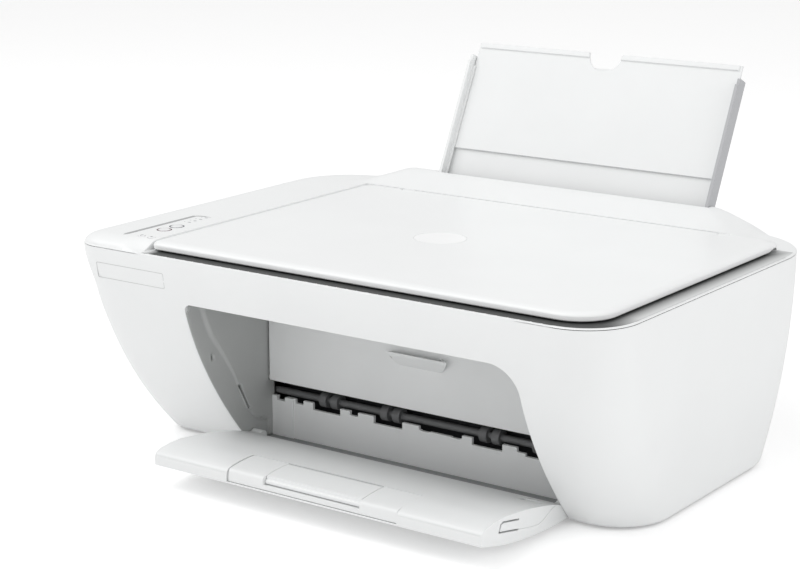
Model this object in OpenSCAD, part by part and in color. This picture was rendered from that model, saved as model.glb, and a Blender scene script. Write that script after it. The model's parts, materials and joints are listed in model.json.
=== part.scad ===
// All-in-one inkjet printer: flatbed scanner on top of a rear-fed print engine.
// Millimetres. +X is the printer's right seen from the front, +Y the rear, +Z up.
// The origin is on the ground under the centre of the case.
// Rest pose: lid and ink door closed, output tray open, paper support raised.

/* [Case] */
// Width of the case at its rim
case_w = 425; // [380:1:460]
// Depth of the case at its rim
case_d = 299; // [270:1:330]
// Height of the rim where the case meets the top frame
rim_z = 149; // [130:1:165]
// Wall thickness of the case
wall = 2.5; // [2:0.1:3.5]
// How far the front leans back towards the bottom
front_lean = 74.5; // [40:0.5:90]
// How far each side draws in towards the bottom
side_lean = 15.3; // [5:0.1:25]
// Height of the rubber feet
foot_h = 1.5; // [1:0.5:6]

/* [Front opening] */
// Left edge of the output opening
mouth_x0 = -113.5; // [-130:0.5:-90]
// Right edge of the output opening
mouth_x1 = 148; // [120:1:160]
// Top of the output opening
mouth_z = 119; // [100:1:130]
// Front face of the ink door
door_y = -60; // [-75:1:-50]
// Lower edge of the ink door
door_z0 = 46; // [40:1:60]
// Upper edge of the ink door
door_z1 = 112; // [100:1:116]

/* [Output tray] */
// Hinge line of the output tray, front to back
tray_y = -76; // [-80:0.5:-74]
// Hinge line of the output tray, height
tray_z = 10.5; // [9:0.5:12]
// Angle the output tray drops through when it opens
tray_fold = 51; // [40:1:60]
// Height on the closed front that the tray's free edge reaches
tray_top = 94; // [80:1:104]

/* [Lid and scanner] */
// Left edge of the scanner lid
lid_x0 = -148.5; // [-155:0.5:-140]
// Right edge of the scanner lid
lid_x1 = 198.5; // [190:0.5:202]
// Front edge of the scanner lid
lid_y0 = -140; // [-143:0.5:-130]
// Top of the scanner lid
lid_z = 157; // [156:0.5:160]
// Hinge line of the lid, front to back
lid_hinge_y = 105; // [100:0.5:110]

/* [Paper support] */
// Lean of the paper support from the vertical
lean = 26; // [15:1:35]
// Width of the paper support
support_w = 231; // [222:1:240]
// Height of the paper support above the ridge, along its own slope
support_l = 94.5; // [60:0.5:110]

/* [Print engine] */
// Height of the platen's top
platen_z = 41.5; // [38:0.5:44]
// Diameter of the steel carriage rod
rod_d = 9; // [6:0.5:12]
// Width of the print carriage
carriage_w = 72; // [60:1:80]
// Left edge of the carriage when it is parked
park_x = 126; // [110:1:130]

/* [Hidden] */
$fn = 32;
gap = 0.3;
fit = 0.05;
base_z = foot_h + 3;
// corner radii of the case seen from above
r_fl = 22;
r_fr = 37;
r_r = 58;
// centre line of the mouth
mouth_c = (mouth_x0 + mouth_x1) / 2;
// levels at which the case's outline is drawn
levels = [foot_h, 2.5, 4.5, 8, 16, 26, 38, 52, 68, 86, 104, 119, 134, rim_z];
// gear train
gear_m = 1;
feed_y = 24;
feed_z = 36;
exit_y = -48;
exit_z = 36;
t_feed = 40;
t_idle = 34;
t_exit = 36;
t_motor = 12;
slack = 0.3;
idle_d1 = (t_feed + t_idle) / 2 + slack;
idle_d2 = (t_idle + t_exit) / 2 + slack;
span = feed_y - exit_y;
idle_a = (idle_d1 * idle_d1 - idle_d2 * idle_d2 + span * span) / (2 * span);
idle_h = sqrt(idle_d1 * idle_d1 - idle_a * idle_a);
idle_y = feed_y - idle_a;
idle_z = feed_z - idle_h;
motor_a = 25;
motor_d = (t_feed + t_motor) / 2 + slack;
motor_y = feed_y + motor_d * cos(motor_a);
motor_z = feed_z + motor_d * sin(motor_a);
// positions of the exit rollers and the star wheels along the slot
roller_x = [-64, -11, 70, 112];
star_x = [-104, -88, -66, -40, -13, 20, 45, 68, 97, 121];
// belt drive of the carriage
belt_z = 90;
belt_y = 16;
pulley_x0 = -126;
pulley_x1 = 190;
// slope of the paper path: origin on the ridge, s along the slope, o forward of it
ridge_y = 148.5;
ridge_z = 165;
support_x = 10.5;
pick_s = -75;
pick_r = 14;
pick_o = 2 + gap + pick_r;
pick_y = ridge_y + pick_s * sin(lean) - pick_o * cos(lean);
pick_z = ridge_z + pick_s * cos(lean) + pick_o * sin(lean);
// the lid's hinge height
lid_hinge_z = lid_z - 3.1;

// ---- outline of the case ----

// 0 at the rim, 1 on the ground
function down(z) = max(0, 1 - z / rim_z);
// rounding of the lower edge
function nip(z) = z >= 4.5 ? 0 : 3 * (1 - sqrt(1 - pow((4.5 - z) / 3.2, 2)));
function front_y(z) = -case_d / 2 + front_lean * pow(down(z), 1.8) + nip(z);
function front_slope(z) = front_lean * 1.8 * pow(down(z), 0.8) / rim_z;
function side_x(z) = case_w / 2 - side_lean * pow(down(z), 2) - nip(z);
function rear_y(z) = case_d / 2 + 0.5 - 10.6 * pow(down(z), 2) - nip(z);
function arc(cx, cy, r, a0, n) = [for (i = [0 : n]) [cx + r * cos(a0 + 90 * i / n), cy + r * sin(a0 + 90 * i / n)]];
// the case's outline at height z, drawn in by d
function ring(z, d, n = 6) =
  let (x = side_x(z) - d, y1 = rear_y(z) - d, y0 = front_y(z) + d * sqrt(1 + pow(front_slope(z), 2)))
  concat(
    arc(x - r_r + d, y1 - r_r + d, r_r - d, 0, n),
    arc(-x + r_r - d, y1 - r_r + d, r_r - d, 90, n),
    arc(-x + r_fl - d, y0 + r_fl - d, r_fl - d, 180, n),
    arc(x - r_fr + d, y0 + r_fr - d, r_fr - d, 270, n));
// a rectangle with four corner radii, counter-clockwise from the rear right
function plate(x0, x1, y0, y1, rr, rl, fl, fr, n = 6) = concat(
  arc(x1 - rr, y1 - rr, rr, 0, n),
  arc(x0 + rl, y1 - rl, rl, 90, n),
  arc(x0 + fl, y0 + fl, fl, 180, n),
  arc(x1 - fr, y0 + fr, fr, 270, n));

// a closed skin through rings of equal length, lowest first
module loft(rings, zs) {
  n = len(rings[0]);
  m = len(rings);
  polyhedron(
    points = [for (k = [0 : m - 1]) for (p = rings[k]) [p[0], p[1], zs[k]]],
    faces = concat(
      [[for (i = [0 : n - 1]) i]],
      [[for (i = [n - 1 : -1 : 0]) (m - 1) * n + i]],
      [for (k = [0 : m - 2]) for (i = [0 : n - 1])
        [k * n + i, (k + 1) * n + i, (k + 1) * n + (i + 1) % n, k * n + (i + 1) % n]]));
}

module case_solid(d, zs) {
  loft([for (z = zs) ring(z, d)], zs);
}

// extrudes a side profile of [y, z] points from x0 to x1
module side(x0, x1, pts) {
  translate([x0, 0, 0])
    rotate([90, 0, 90])
      linear_extrude(x1 - x0)
        polygon(pts);
}

// a cylinder along X
module rod_x(x0, x1, y, z, r) {
  translate([x0, y, z])
    rotate([0, 90, 0])
      cylinder(r = r, h = x1 - x0);
}

// a cylinder along Y
module rod_y(y0, y1, x, z, r) {
  translate([x, y1, z])
    rotate([90, 0, 0])
      cylinder(r = r, h = y1 - y0);
}

module box(a, b) {
  translate(a)
    cube(b - a);
}

// places children on the paper slope: x across, y forward of it, z up along it
module slope() {
  translate([0, ridge_y, ridge_z])
    rotate([-lean, 0, 0])
      mirror([0, 1, 0])
        children();
}

// ---- gear teeth ----

function inv_p(rb, a) = [rb * (cos(a) + a * PI / 180 * sin(a)), rb * (sin(a) - a * PI / 180 * cos(a))];
function turn(p, a) = [p[0] * cos(a) - p[1] * sin(a), p[0] * sin(a) + p[1] * cos(a)];
function flank(rb, r) = sqrt(max(0, pow(r / rb, 2) - 1)) * 180 / PI;
// an involute spur gear's outline, tooth centred on angle 0, with a little backlash
module gear2d(t, thin = 0.2) {
  rp = t * gear_m / 2;
  rb = rp * cos(20);
  ra = rp + gear_m * 0.9;
  rf = rp - gear_m * 1.2;
  ap = flank(rb, rp);
  lead = ap - acos(1 / sqrt(1 + pow(ap * PI / 180, 2)));
  half = 90 / t - thin / rp * 90 / PI + lead;
  rs = [max(rb, rf) + 0.01, rp, ra];
  pts = [for (i = [0 : t - 1])
    let (c = 360 * i / t)
    each concat(
      [turn([rf, 0], c - half - 1.5 * 20 / t)],
      [for (r = rs) turn(inv_p(rb, flank(rb, r)), c - half)],
      [for (k = [2 : -1 : 0]) let (q = inv_p(rb, flank(rb, rs[k]))) turn([q[0], -q[1]], c + half)],
      [turn([rf, 0], c + half + 1.5 * 20 / t)])];
  polygon(pts);
}

// a gear on the X axis at [y, z], turned by a about that axis
module gear_x(t, x0, x1, y, z, a, bore) {
  translate([x0, y, z])
    rotate([90, 0, 90])
      difference() {
        union() {
          rotate(a)
            linear_extrude(x1 - x0)
              gear2d(t);
          cylinder(r = bore + 2.5, h = x1 - x0 + 1.5);
        }
        translate([0, 0, -1])
          cylinder(r = bore, h = x1 - x0 + 4);
      }
}

// ---- case ----

// inner face of the front wall at height z
function inner_y(z) = front_y(z) + wall * sqrt(1 + pow(front_slope(z), 2));
screw_at = [[-188, 20], [188, 20], [-150, 131], [150, 131]];
foot_at = [[-165, -50], [165, -50], [-140, 116], [140, 116]];
cheek_z = [base_z + 0.1, 8, 16, 26, 38, 52, 68, 86, 104, 119];

// the outline of the mouth, seen from the front
module mouth() {
  r0 = 6;
  r1 = 20;
  polygon(concat(
    [[mouth_x0, -5], [mouth_x1, -5]],
    arc(mouth_x1 - r1, mouth_z - r1, r1, 0, 8),
    arc(mouth_x0 + r0, mouth_z - r0, r0, 90, 4)));
}

module outer_case() {
  color([0.93, 0.94, 0.95])
    difference() {
      union() {
        difference() {
          case_solid(0, levels);
          loft(
            concat([ring(foot_h, wall)], [for (z = levels) ring(z, wall)], [ring(rim_z, wall)]),
            concat([foot_h - 1], levels, [rim_z + 1]));
        }
        for (p = screw_at)
          translate([p[0], p[1], base_z])
            cylinder(r = 4.5, h = 38);
        intersection() {
          case_solid(1, levels);
          union() {
            box([-206, 18.5, base_z], [-191, 21.5, 40]);
            box([191, 18.5, base_z], [206, 21.5, 40]);
            box([-151.5, 134, base_z], [-148.5, 148, 40]);
            box([148.5, 134, base_z], [151.5, 148, 40]);
          }
        }
      }
      translate([0, -50, 0])
        rotate([90, 0, 0])
          linear_extrude(150)
            mouth();
      for (p = screw_at)
        translate([p[0], p[1], 0])
          cylinder(r = 1.5, h = 30);
      box([-133, 120, 19], [-111, 160, 37]);
      box([-91.5, 120, 21.5], [-78.5, 160, 33.5]);
      for (i = [0 : 7])
        box([30 + 12 * i, 130, 22], [34 + 12 * i, 160, 46]);
    }
}

module base_pan() {
  color([0.78, 0.79, 0.8])
    difference() {
      union() {
        loft([ring(foot_h, wall + 0.15), ring(base_z, wall + 0.15)], [foot_h, base_z]);
        for (x = [-60, 0, 60])
          box([x - 1, -30, base_z - 0.5], [x + 1, 9, 10]);
        for (x = [-186, -159])
          for (y = [-64, 4])
            translate([x, y, base_z - 0.5])
              cylinder(r = 3, h = 12.5 - base_z);
      }
      for (p = screw_at)
        translate([p[0], p[1], 0])
          cylinder(r = 1.7, h = 10);
      for (p = screw_at)
        translate([p[0], p[1], 0])
          cylinder(r = 3.4, h = foot_h + 1.5);
      for (p = foot_at)
        translate([p[0], p[1], 0])
          cylinder(r = 2, h = 10);
    }
}

module feet() {
  color([0.2, 0.2, 0.21])
    for (p = foot_at)
      translate([p[0], p[1], 0]) {
        cylinder(r = 7, h = foot_h);
        cylinder(r = 2, h = base_z);
      }
}

module case_screws() {
  color([0.6, 0.6, 0.62])
    for (p = screw_at)
      translate([p[0], p[1], foot_h + 0.1])
        difference() {
          union() {
            cylinder(r = 3, h = 1.4);
            cylinder(r = 1.4, h = 20);
          }
          translate([-0.4, -1.8, -1])
            cube([0.8, 3.6, 1.7]);
          translate([-1.8, -0.4, -1])
            cube([3.6, 0.8, 1.7]);
        }
}

// ---- top frame ----

// buttons on the control strip: x, y, bore radius
button_at = [[-164.5, -106.5, 4.5], [-164.5, -93.5, 4.5], [-164, -130, 2.8], [-155, -130, 2.8]];

// the top surface left of the lid and behind it, rounded over towards the rim
module crown() {
  zs = [150.2, 152, 153.8, 155.2, 156.2, 156.6];
  ds = [0.7, 1.6, 3.4, 6.4, 10.5, 15];
  intersection() {
    loft([for (d = ds) ring(rim_z, d)], zs);
    union() {
      box([-220, -160, 149], [lid_x0 - 0.8, 160, 170]);
      box([-220, lid_hinge_y + 3.4, 149], [220, 160, 170]);
    }
  }
}

// the raised part over the paper slot
module hump() {
  zs = [150.2, 156, 162, 164.6, 165.6];
  ds = [0.7, 1.1, 1.7, 2.6, 4.4];
  intersection() {
    loft([for (d = ds) ring(rim_z, d)], zs);
    side(-160, 160, [[108.4, 150.2], [150, 150.2], [150, 165.6], [142, 165.6], [138, 165], [114, 158],
      [110.4, 156.6], [108.4, 155.6]]);
    translate([0, 160, 0])
      rotate([90, 0, 0])
        linear_extrude(60)
          polygon([[-170, 150.2], [160, 150.2], [160, 155], [149, 159.5], [137, 164], [128, 165.2],
            [121, 165.6], [-128, 165.6], [-134, 165], [-145, 162], [-159, 156.4], [-170, 154]]);
  }
}

module top_frame() {
  color([0.93, 0.94, 0.95])
    difference() {
      union() {
        loft([ring(rim_z, 0), ring(rim_z, 0), ring(rim_z, 0.7)], [rim_z, 149.6, 150.2]);
        loft([ring(rim_z, wall + 0.2), ring(rim_z, wall + 0.2)], [147.2, rim_z]);
        difference() {
          union() {
            crown();
            hump();
          }
          side(-126, 128, [[111.5, 146], [146.6, 146], [146.6, 162.9], [141, 162.9], [113, 154.7], [111.5, 153.8]]);
        }
        for (x = [-112, 154]) {
          rod_x(x, x + 8, lid_hinge_y, lid_hinge_z, 2.9);
          box([x, lid_hinge_y - 2, 150], [x + 8, lid_hinge_y + 5, lid_hinge_z]);
          box([x, lid_hinge_y, 150], [x + 8, lid_hinge_y + 5, 156]);
        }
      }
      box([-122, -111, 140], [176, 97, 158]);
      difference() {
        box([-203, -137, 146], [-151, -30, 153.6]);
        for (p = [[-196, -36], [-156, -36], [-196, -112]])
          translate([p[0], p[1], 149.6])
            cylinder(r = 2.5, h = 10);
      }
      side(-150, 150, [[111.5, 140], [146.6, 140], [146.6, 153.6], [111.5, 153.6]]);
      for (x = [-112, 154])
        rod_x(x - 1, x + 9, lid_hinge_y, lid_hinge_z, 1.5 + fit);
      for (p = button_at)
        translate([p[0], p[1], 145])
          cylinder(r = p[2], h = 20);
      box([-178.5, -132, 155.2], [-175.5, -57, 160]);
      for (i = [0 : 3])
        box([-168, -80 + 6 * i, 155.6], [-164, -77 + 6 * i, 160]);
      slope()
        box([support_x - support_w / 2 - 0.6, -7, -34], [support_x + support_w / 2 + 0.6, 6.5, 12]);
    }
}

module status_bar() {
  color([0.62, 0.63, 0.65])
    box([-178.5, -132, 155.2], [-175.5, -57, 156.2]);
}

module status_lights() {
  color([0.7, 0.72, 0.75])
    for (i = [0 : 3])
      box([-168, -80 + 6 * i, 155.6], [-164, -77 + 6 * i, 156.5]);
}

module button_board() {
  color([0.1, 0.35, 0.2])
    difference() {
      union() {
        box([-200, -134, 148], [-154, -33, 149.6]);
        for (p = button_at)
          translate([p[0] - 3, p[1] - 3, 149.4])
            cube([6, 6, 1.4]);
      }
      translate([-196, -120, 147])
        cylinder(r = 1.5, h = 4);
    }
}

// a cap with a retaining flange under the crown and a stem over its switch
module button(i) {
  r = button_at[i][2] - gap;
  translate([button_at[i][0], button_at[i][1], 0]) {
    translate([0, 0, 152.4])
      cylinder(r = r + 0.9, h = 0.9);
    translate([0, 0, 152.4])
      cylinder(r = r, h = 4.7);
    translate([0, 0, 151.8])
      cylinder(r = 1.6, h = 1);
  }
}

module colour_button() {
  color([0.9, 0.9, 0.91])
    button(0);
}

module mono_button() {
  color([0.9, 0.9, 0.91])
    button(1);
}

module cancel_button() {
  color([0.88, 0.88, 0.9])
    button(2);
}

module resume_button() {
  color([0.88, 0.88, 0.9])
    button(3);
}

// ---- lid ----

module lid() {
  zs = [152.8, 153.6, 155.2, 156.3, lid_z - 0.15, lid_z];
  ds = [0.8, 0, 0, 0.8, 2.2, 4];
  color([0.95, 0.96, 0.97])
    difference() {
      union() {
        loft([for (d = ds) plate(lid_x0 + d, lid_x1 - d, lid_y0 + d, lid_hinge_y - 0.5, 0.5, 0.5, 15 - d, 26 - d)], zs);
        rod_x(lid_x0 + 1, lid_x1 - 1, lid_hinge_y, lid_hinge_z, 3);
      }
      for (x = [-112, 154])
        box([x - 0.5, lid_hinge_y - 3.6, 145], [x + 8.5, lid_hinge_y + 5, 160]);
      for (x = [-125, 141])
        rod_x(x, x + 34, lid_hinge_y, lid_hinge_z, 1.5);
      box([-121, -110, 150], [175, 96, 154.8]);
    }
}

module lid_pad() {
  color([0.97, 0.97, 0.97])
    box([-121, -110, 147.6], [175, 96, 154.8]);
}

module lid_pins() {
  color([0.7, 0.7, 0.72])
    for (x = [-125, 141])
      rod_x(x, x + 34, lid_hinge_y, lid_hinge_z, 1.5);
}

// ---- scanner ----

module scan_glass() {
  color([0.75, 0.85, 0.85, 0.35])
    box([-128, -117, 145], [182, 103, 147.2]);
}

module scanner_tub() {
  color([0.25, 0.25, 0.27])
    difference() {
      union() {
        difference() {
          box([-151, -124, 126], [201, 107, 147.2]);
          box([-149, -122, 128], [199, 105, 148]);
        }
        box([-149.5, -9, 127], [-144.5, -1, 137]);
        box([194.5, -9, 127], [199.5, -1, 137]);
        for (y = [-96, 78])
          box([-149.5, y, 127], [199.5, y + 2, 129.2]);
      }
      rod_x(-149, 199, -5, 133, 3);
    }
}

module scan_rod() {
  color([0.75, 0.75, 0.77])
    rod_x(-149, 199, -5, 133, 3);
}

module scan_head() {
  color([0.15, 0.15, 0.16])
    difference() {
      union() {
        box([-143, -118, 138.3], [-127, 100, 144.5]);
        box([-143, -12, 128.5], [-127, 2, 138.5]);
        for (y = [-98, 76])
          box([-140, y, 129.6], [-130, y + 6, 138.5]);
      }
      rod_x(-150, -120, -5, 133, 3 + fit);
      box([-136, -113, 143.6], [-134, 95, 150]);
    }
}

// ---- output side ----

// a point of the closed tray, opened about the tray's hinge
function open_p(p) =
  let (y = p[0] - tray_y, z = p[1] - tray_z)
  [tray_y + y * cos(tray_fold) - z * sin(tray_fold), tray_z + y * sin(tray_fold) + z * cos(tray_fold)];
// a point of the open tray, closed
function shut_p(p) =
  let (y = p[0] - tray_y, z = p[1] - tray_z)
  [tray_y + y * cos(tray_fold) + z * sin(tray_fold), tray_z - y * sin(tray_fold) + z * cos(tray_fold)];
tray_zs = [9, 12, 16, 21, 27, 34, 42, 50, 59, 68, 77, 86, tray_top];
tray_nose = [[-179.2, 19.5], [-178.9, 22], [-178.2, 23.7]];
tray_upper = [[-177, 24.9], [-172.5, 26.2], [-164, 27.2], [-153, 27.4], [-137, 25.7], [-123, 23.7], [-109, 21], [-97, 18.2]];
// the step in each cheek that the closed tray rests against
step = concat(
  [[-134.5, 119], [-131, 108]],
  [for (p = tray_upper) let (q = shut_p(p)) [q[0] + 1, q[1] + 0.8]],
  [[-78, 20], [-76, 16]]);

module cheek(x0, x1, step_x0, step_x1) {
  edge = [for (z = cheek_z) [inner_y(z) + 0.15, z]];
  side(x0, x1, concat(edge, [[-52.5, 119], [-52.5, cheek_z[0]]]));
  side(step_x0, step_x1, concat(step, [[-52.5, 16], [-52.5, 119]]));
}

module cavity_liner() {
  color([0.72, 0.73, 0.74])
    difference() {
      union() {
        cheek(mouth_x0 - wall, mouth_x0, mouth_x0 - 0.1, mouth_x0 + 1.5);
        cheek(mouth_x1, mouth_x1 + wall, mouth_x1 - 1.5, mouth_x1 + 0.1);
        side(mouth_x0 - wall, mouth_x1 + wall, [[inner_y(119) + 0.15, 119], [inner_y(122) + 0.3, 121.5],
          [-57.5, 121.5], [-57.5, 119]]);
        box([mouth_x0 - wall, door_y, door_z1 + 0.5], [mouth_x1 + wall, door_y + 2.5, 120]);
        rod_x(mouth_x0 - 5, mouth_x0, tray_y, tray_z, 3.6);
        rod_x(mouth_x1, mouth_x1 + 5, tray_y, tray_z, 3.6);
        rod_x(mouth_x0 - 4, mouth_x0, -57, 48, 4);
        rod_x(mouth_x1, mouth_x1 + 4, -57, 48, 4);
      }
      rod_x(mouth_x0 - 6, mouth_x1 + 6, tray_y, tray_z, 2.5 + fit);
      rod_x(mouth_x0 - 6, mouth_x1 + 6, -57, 48, 2 + fit);
      for (x = [mouth_x0 - 3, mouth_x1 - 0.5])
        box([x, -125, 75.5], [x + 3.5, -121.5, 80]);
      for (x = [mouth_x0 - 3, mouth_x1 - 0.5])
        side(x, x + 3.5, [[-98, 52], [-96, 53], [-85.6, 33.5], [-87.6, 32.5]]);
    }
}

module exit_wall() {
  color([0.8, 0.81, 0.82])
    difference() {
      union() {
        box([mouth_x0 + 1.6, -55, cheek_z[0]], [mouth_x1 - 1.6, -52.5, 34]);
        box([mouth_x0 + 1.6, -56, cheek_z[0]], [-93, -54.9, 34]);
      }
      for (x = roller_x)
        box([x - 12, -57, 29], [x + 12, -50, 40]);
      for (x = star_x)
        box([x - 3.5, -57, 31], [x + 3.5, -50, 40]);
      box([15, -57, 31.5], [50, -50, 40]);
    }
}

module access_door() {
  x0 = mouth_x0 + 3;
  x1 = mouth_x1 - 3;
  c = 17.5;
  color([0.82, 0.83, 0.84])
    union() {
      box([x0, door_y, door_z0], [x1, door_y + 2.5, door_z1]);
      rod_x(x0, x1, -57, 48, 2.5);
      rod_x(mouth_x0 - 4, mouth_x1 + 4, -57, 48, 2);
      side(c - 26.5, c + 26.5, [[-59.5, 74.5], [-61.5, 74.5], [-68, 83], [-68, 84.2], [-66.6, 84.2],
        [-61.2, 77.2], [-59.5, 77.2]]);
      for (x = [c - 26.5, c + 25])
        side(x, x + 1.5, [[-59.5, 74.5], [-61.5, 74.5], [-68, 83], [-68, 84.2], [-59.5, 84.2]]);
      box([c - 8, -58, 107], [c + 8, -55.5, 111]);
      for (x = [-80, -30, 66, 112])
        box([x, -58, 52], [x + 1.5, -55.5, 108]);
    }
}

// a groove in each end of the tray, outlining its finger latch
latch = [[-137, 21.5], [-155.5, 25], [-158.2, 24.2], [-160.5, 18.6], [-137.5, 13.9], [-137.5, 15.1], [-158.8, 19.4],
  [-157, 23.3], [-155.3, 23.8], [-137, 20.3]];
// the seam between an end cap's two halves
crease = [[-137.5, 14.4], [-123, 11.6], [-114.5, 10.6], [-109, 11.6], [-104, 13.6], [-99, 15.7], [-94.5, 17]];

module output_tray() {
  x0 = mouth_x0 + 0.6;
  x1 = mouth_x1 - 0.6;
  under = [for (z = tray_zs) open_p([front_y(z) + 0.3, z])];
  under_in = [for (z = [16, 26, 38, 52, 68, 84]) open_p([front_y(z) + 3.1, z])];
  upper_in = [[-172, 23.4], [-164, 24.6], [-153, 24.9], [-137, 23.2], [-123, 21.2], [-109, 18.2], [-97, 14.6]];
  color([0.86, 0.87, 0.88])
    difference() {
      union() {
        side(x0, x1, concat(under, tray_nose, tray_upper, [[-86, 14.6], [-81, 13]]));
        for (x = [x0, x1 - 9])
          rod_x(x, x + 9, tray_y, tray_z, 3.6);
        for (x = [x0, x1 - 9])
          box([x, -84, 8], [x + 9, -76, 13]);
        rod_x(mouth_x0 - 4.6, mouth_x0 + 5, tray_y, tray_z, 2.5);
        rod_x(mouth_x1 - 5, mouth_x1 + 4.6, tray_y, tray_z, 2.5);
      }
      side(x0 + 3, x1 - 3, concat(under_in, upper_in));
      box([mouth_c - 68, -183, 18.9], [mouth_c + 68, -150.5, 40]);
      translate([0, -178, 18.4])
        rotate([-4.5, 0, 0])
          box([mouth_c - 68, -6, -1.8], [mouth_c + 68, 20, 1.8]);
      for (x = [x0 - 1, x1 - 4])
        side(x, x + 5, latch);
      for (x = [x0 - 1, x1 - 0.4])
        side(x, x + 1.4, concat(crease, [for (i = [6 : -1 : 0]) crease[i] + [0, 0.4]]));
      box([x0 - 1, -183, 22.4], [x1 + 1, -178.4, 22.8]);
      side(125, 139.5, [[-104, 18.9], [-95, 16.7], [-95, 30], [-104, 30]]);
    }
}

// the extension's own frame: origin at its front edge, y back along the plate
module extension_frame() {
  translate([0, -178, 18.4])
    rotate([-4.5, 0, 0])
      children();
}

// upper edge of the grip at the extension's front, shared by its two sides and the flap between them
grip = [[26.6, 10.7], [20, 10.2], [12, 9.1], [5, 7.7]];
grip_in = [[24.8, 9], [20, 8.5], [12, 7.4], [6, 6.2]];
// the flap is shorter behind, which leaves a finger gap to the tray
flap_top = [for (p = grip) if (p[0] < 25) p];
flap_in = [for (p = grip_in) if (p[0] < 23) p];

module output_extension() {
  color([0.84, 0.85, 0.86])
    extension_frame()
      difference() {
        union() {
          box([mouth_c - 67.4, 0, -1.5], [mouth_c + 67.4, 72, 1.5]);
          for (x = [mouth_c - 67.4, mouth_c + 38.4])
            side(x, x + 29, concat([[0, 1], [26.6, 1]], grip, [[1.5, 6.8], [0.3, 5.6], [0, 4.1]]));
        }
        for (x = [mouth_c - 65.6, mouth_c + 40.2])
          side(x, x + 25.4, concat([[6, -2], [24.8, -2]], grip_in));
        rod_x(mouth_c - 41.4, mouth_c + 41.4, 3.5, 3.4, 1 + fit);
        for (x = [-60, -30, 0, 30, 60])
          box([mouth_c + x - 8, 30, 0.7], [mouth_c + x + 8, 68, 5]);
      }
}

module paper_flap() {
  color([0.84, 0.85, 0.86])
    extension_frame()
      difference() {
        union() {
          rod_x(mouth_c - 38, mouth_c + 38, 3.5, 3.4, 1.6);
          rod_x(mouth_c - 41.2, mouth_c + 41.2, 3.5, 3.4, 1);
          side(mouth_c - 38, mouth_c + 38, concat([[3.5, 2.1], [25.1, 2.1], [25.1, 10.6]], flap_top, [[3.5, 7.2]]));
        }
        side(mouth_c - 36.4, mouth_c + 36.4, concat([[6.5, 1], [23.3, 1], [23.3, 8.8]], flap_in));
      }
}

// ---- paper support ----

module input_tray() {
  x0 = support_x - support_w / 2;
  x1 = support_x + support_w / 2;
  color([0.88, 0.89, 0.9])
    slope()
      union() {
        box([x0, -5.2, -28], [x1, -2.7, support_l]);
        box([x0, -5.2, -28], [x0 + 2.5, 4, support_l]);
        box([x1 - 2.5, -5.2, -28], [x1, 4, support_l]);
        box([x0, -5.2, -10], [x0 + 2.5, 6, support_l - 5]);
        box([x1 - 2.5, -5.2, -10], [x1, 6, support_l - 5]);
        box([x0 + 2, -0.3, -20], [x0 + 4.5, 0.9, support_l - 8]);
        box([x1 - 4.5, -0.3, -20], [x1 - 2, 0.9, support_l - 8]);
      }
}

module input_extension() {
  x0 = support_x - support_w / 2 + 3;
  x1 = support_x + support_w / 2 - 3;
  color([0.84, 0.85, 0.86])
    slope()
      difference() {
        union() {
          box([x0, -2.4, 20], [x1, -0.6, 105.5]);
          box([x0 + 2, -2.4, 101.5], [x1 - 2, 0.6, 105.5]);
        }
        translate([support_x, 5, 105.5])
          rotate([90, 0, 0])
            cylinder(r = 14, h = 10);
      }
}

module paper_ramp() {
  color([0.3, 0.31, 0.33])
    difference() {
      union() {
        slope()
          box([-99, 0, -100], [120, 2, -3]);
        side(-99, 120, [[102.9, 76], [96, 64], [86, 54.5], [72, 47.5], [55, 43.3], [34, 41.8], [34, 39.3],
          [55, 40.8], [73, 45], [87.5, 52.2], [98.3, 62.3], [105, 75]]);
        for (x = [-62, 10, 82])
          side(x, x + 3, [[40, base_z + 0.05], [40, 40], [55, 41], [73, 45.2], [87.5, 52.4], [96, 60],
            [96, base_z + 0.05]]);
      }
      slope()
        box([-96, -1, -40], [40, 3, -34]);
    }
}

module width_guide() {
  color([0.2, 0.45, 0.7])
    slope()
      union() {
        box([-98, 2.3, -58], [-96, 10, -10]);
        box([-98, 2.3, -46], [-78, 3.8, -28]);
        box([-95.5, 0.3, -39.6], [-83, 3, -34.4]);
        box([-98, 2.3, -20], [-93, 4.2, -14]);
      }
}

// ---- print engine ----

module chassis_left() {
  color([0.55, 0.56, 0.58])
    difference() {
      union() {
        side(-139.5, -137, [[-52, base_z + 0.05], [118, base_z + 0.05], [118, 124], [6, 124], [2, 50], [-52, 44]]);
        rod_x(-150.5, -139, idle_y, idle_z, 3);
        side(-151.5, -150.5, [[idle_y - 5, idle_z - 5], [idle_y + 5, idle_z - 5], [idle_y + 5, idle_z + 5],
          [idle_y - 5, idle_z + 5]]);
      }
      rod_x(-145, -130, exit_y, exit_z, 2.5 + fit);
      rod_x(-145, -130, feed_y, feed_z, 3 + fit);
      rod_x(-145, -130, motor_y, motor_z, 3.5);
      rod_x(-145, -130, pick_y, pick_z, 4 + fit);
      rod_x(-145, -130, 18, 62, rod_d / 2);
      box([-145, 60, 62], [-130, 82, 112]);
    }
}

module chassis_right() {
  color([0.55, 0.56, 0.58])
    difference() {
      side(127, 129.5, [[-52, base_z + 0.05], [118, base_z + 0.05], [118, 124], [36, 124], [36, 43], [-52, 43]]);
      rod_x(120, 135, exit_y, exit_z, 2.5 + fit);
      rod_x(120, 135, feed_y, feed_z, 3 + fit);
      rod_x(120, 135, pick_y, pick_z, 4 + fit);
      box([120, 55, 50], [135, 82, 112]);
    }
}

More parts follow.
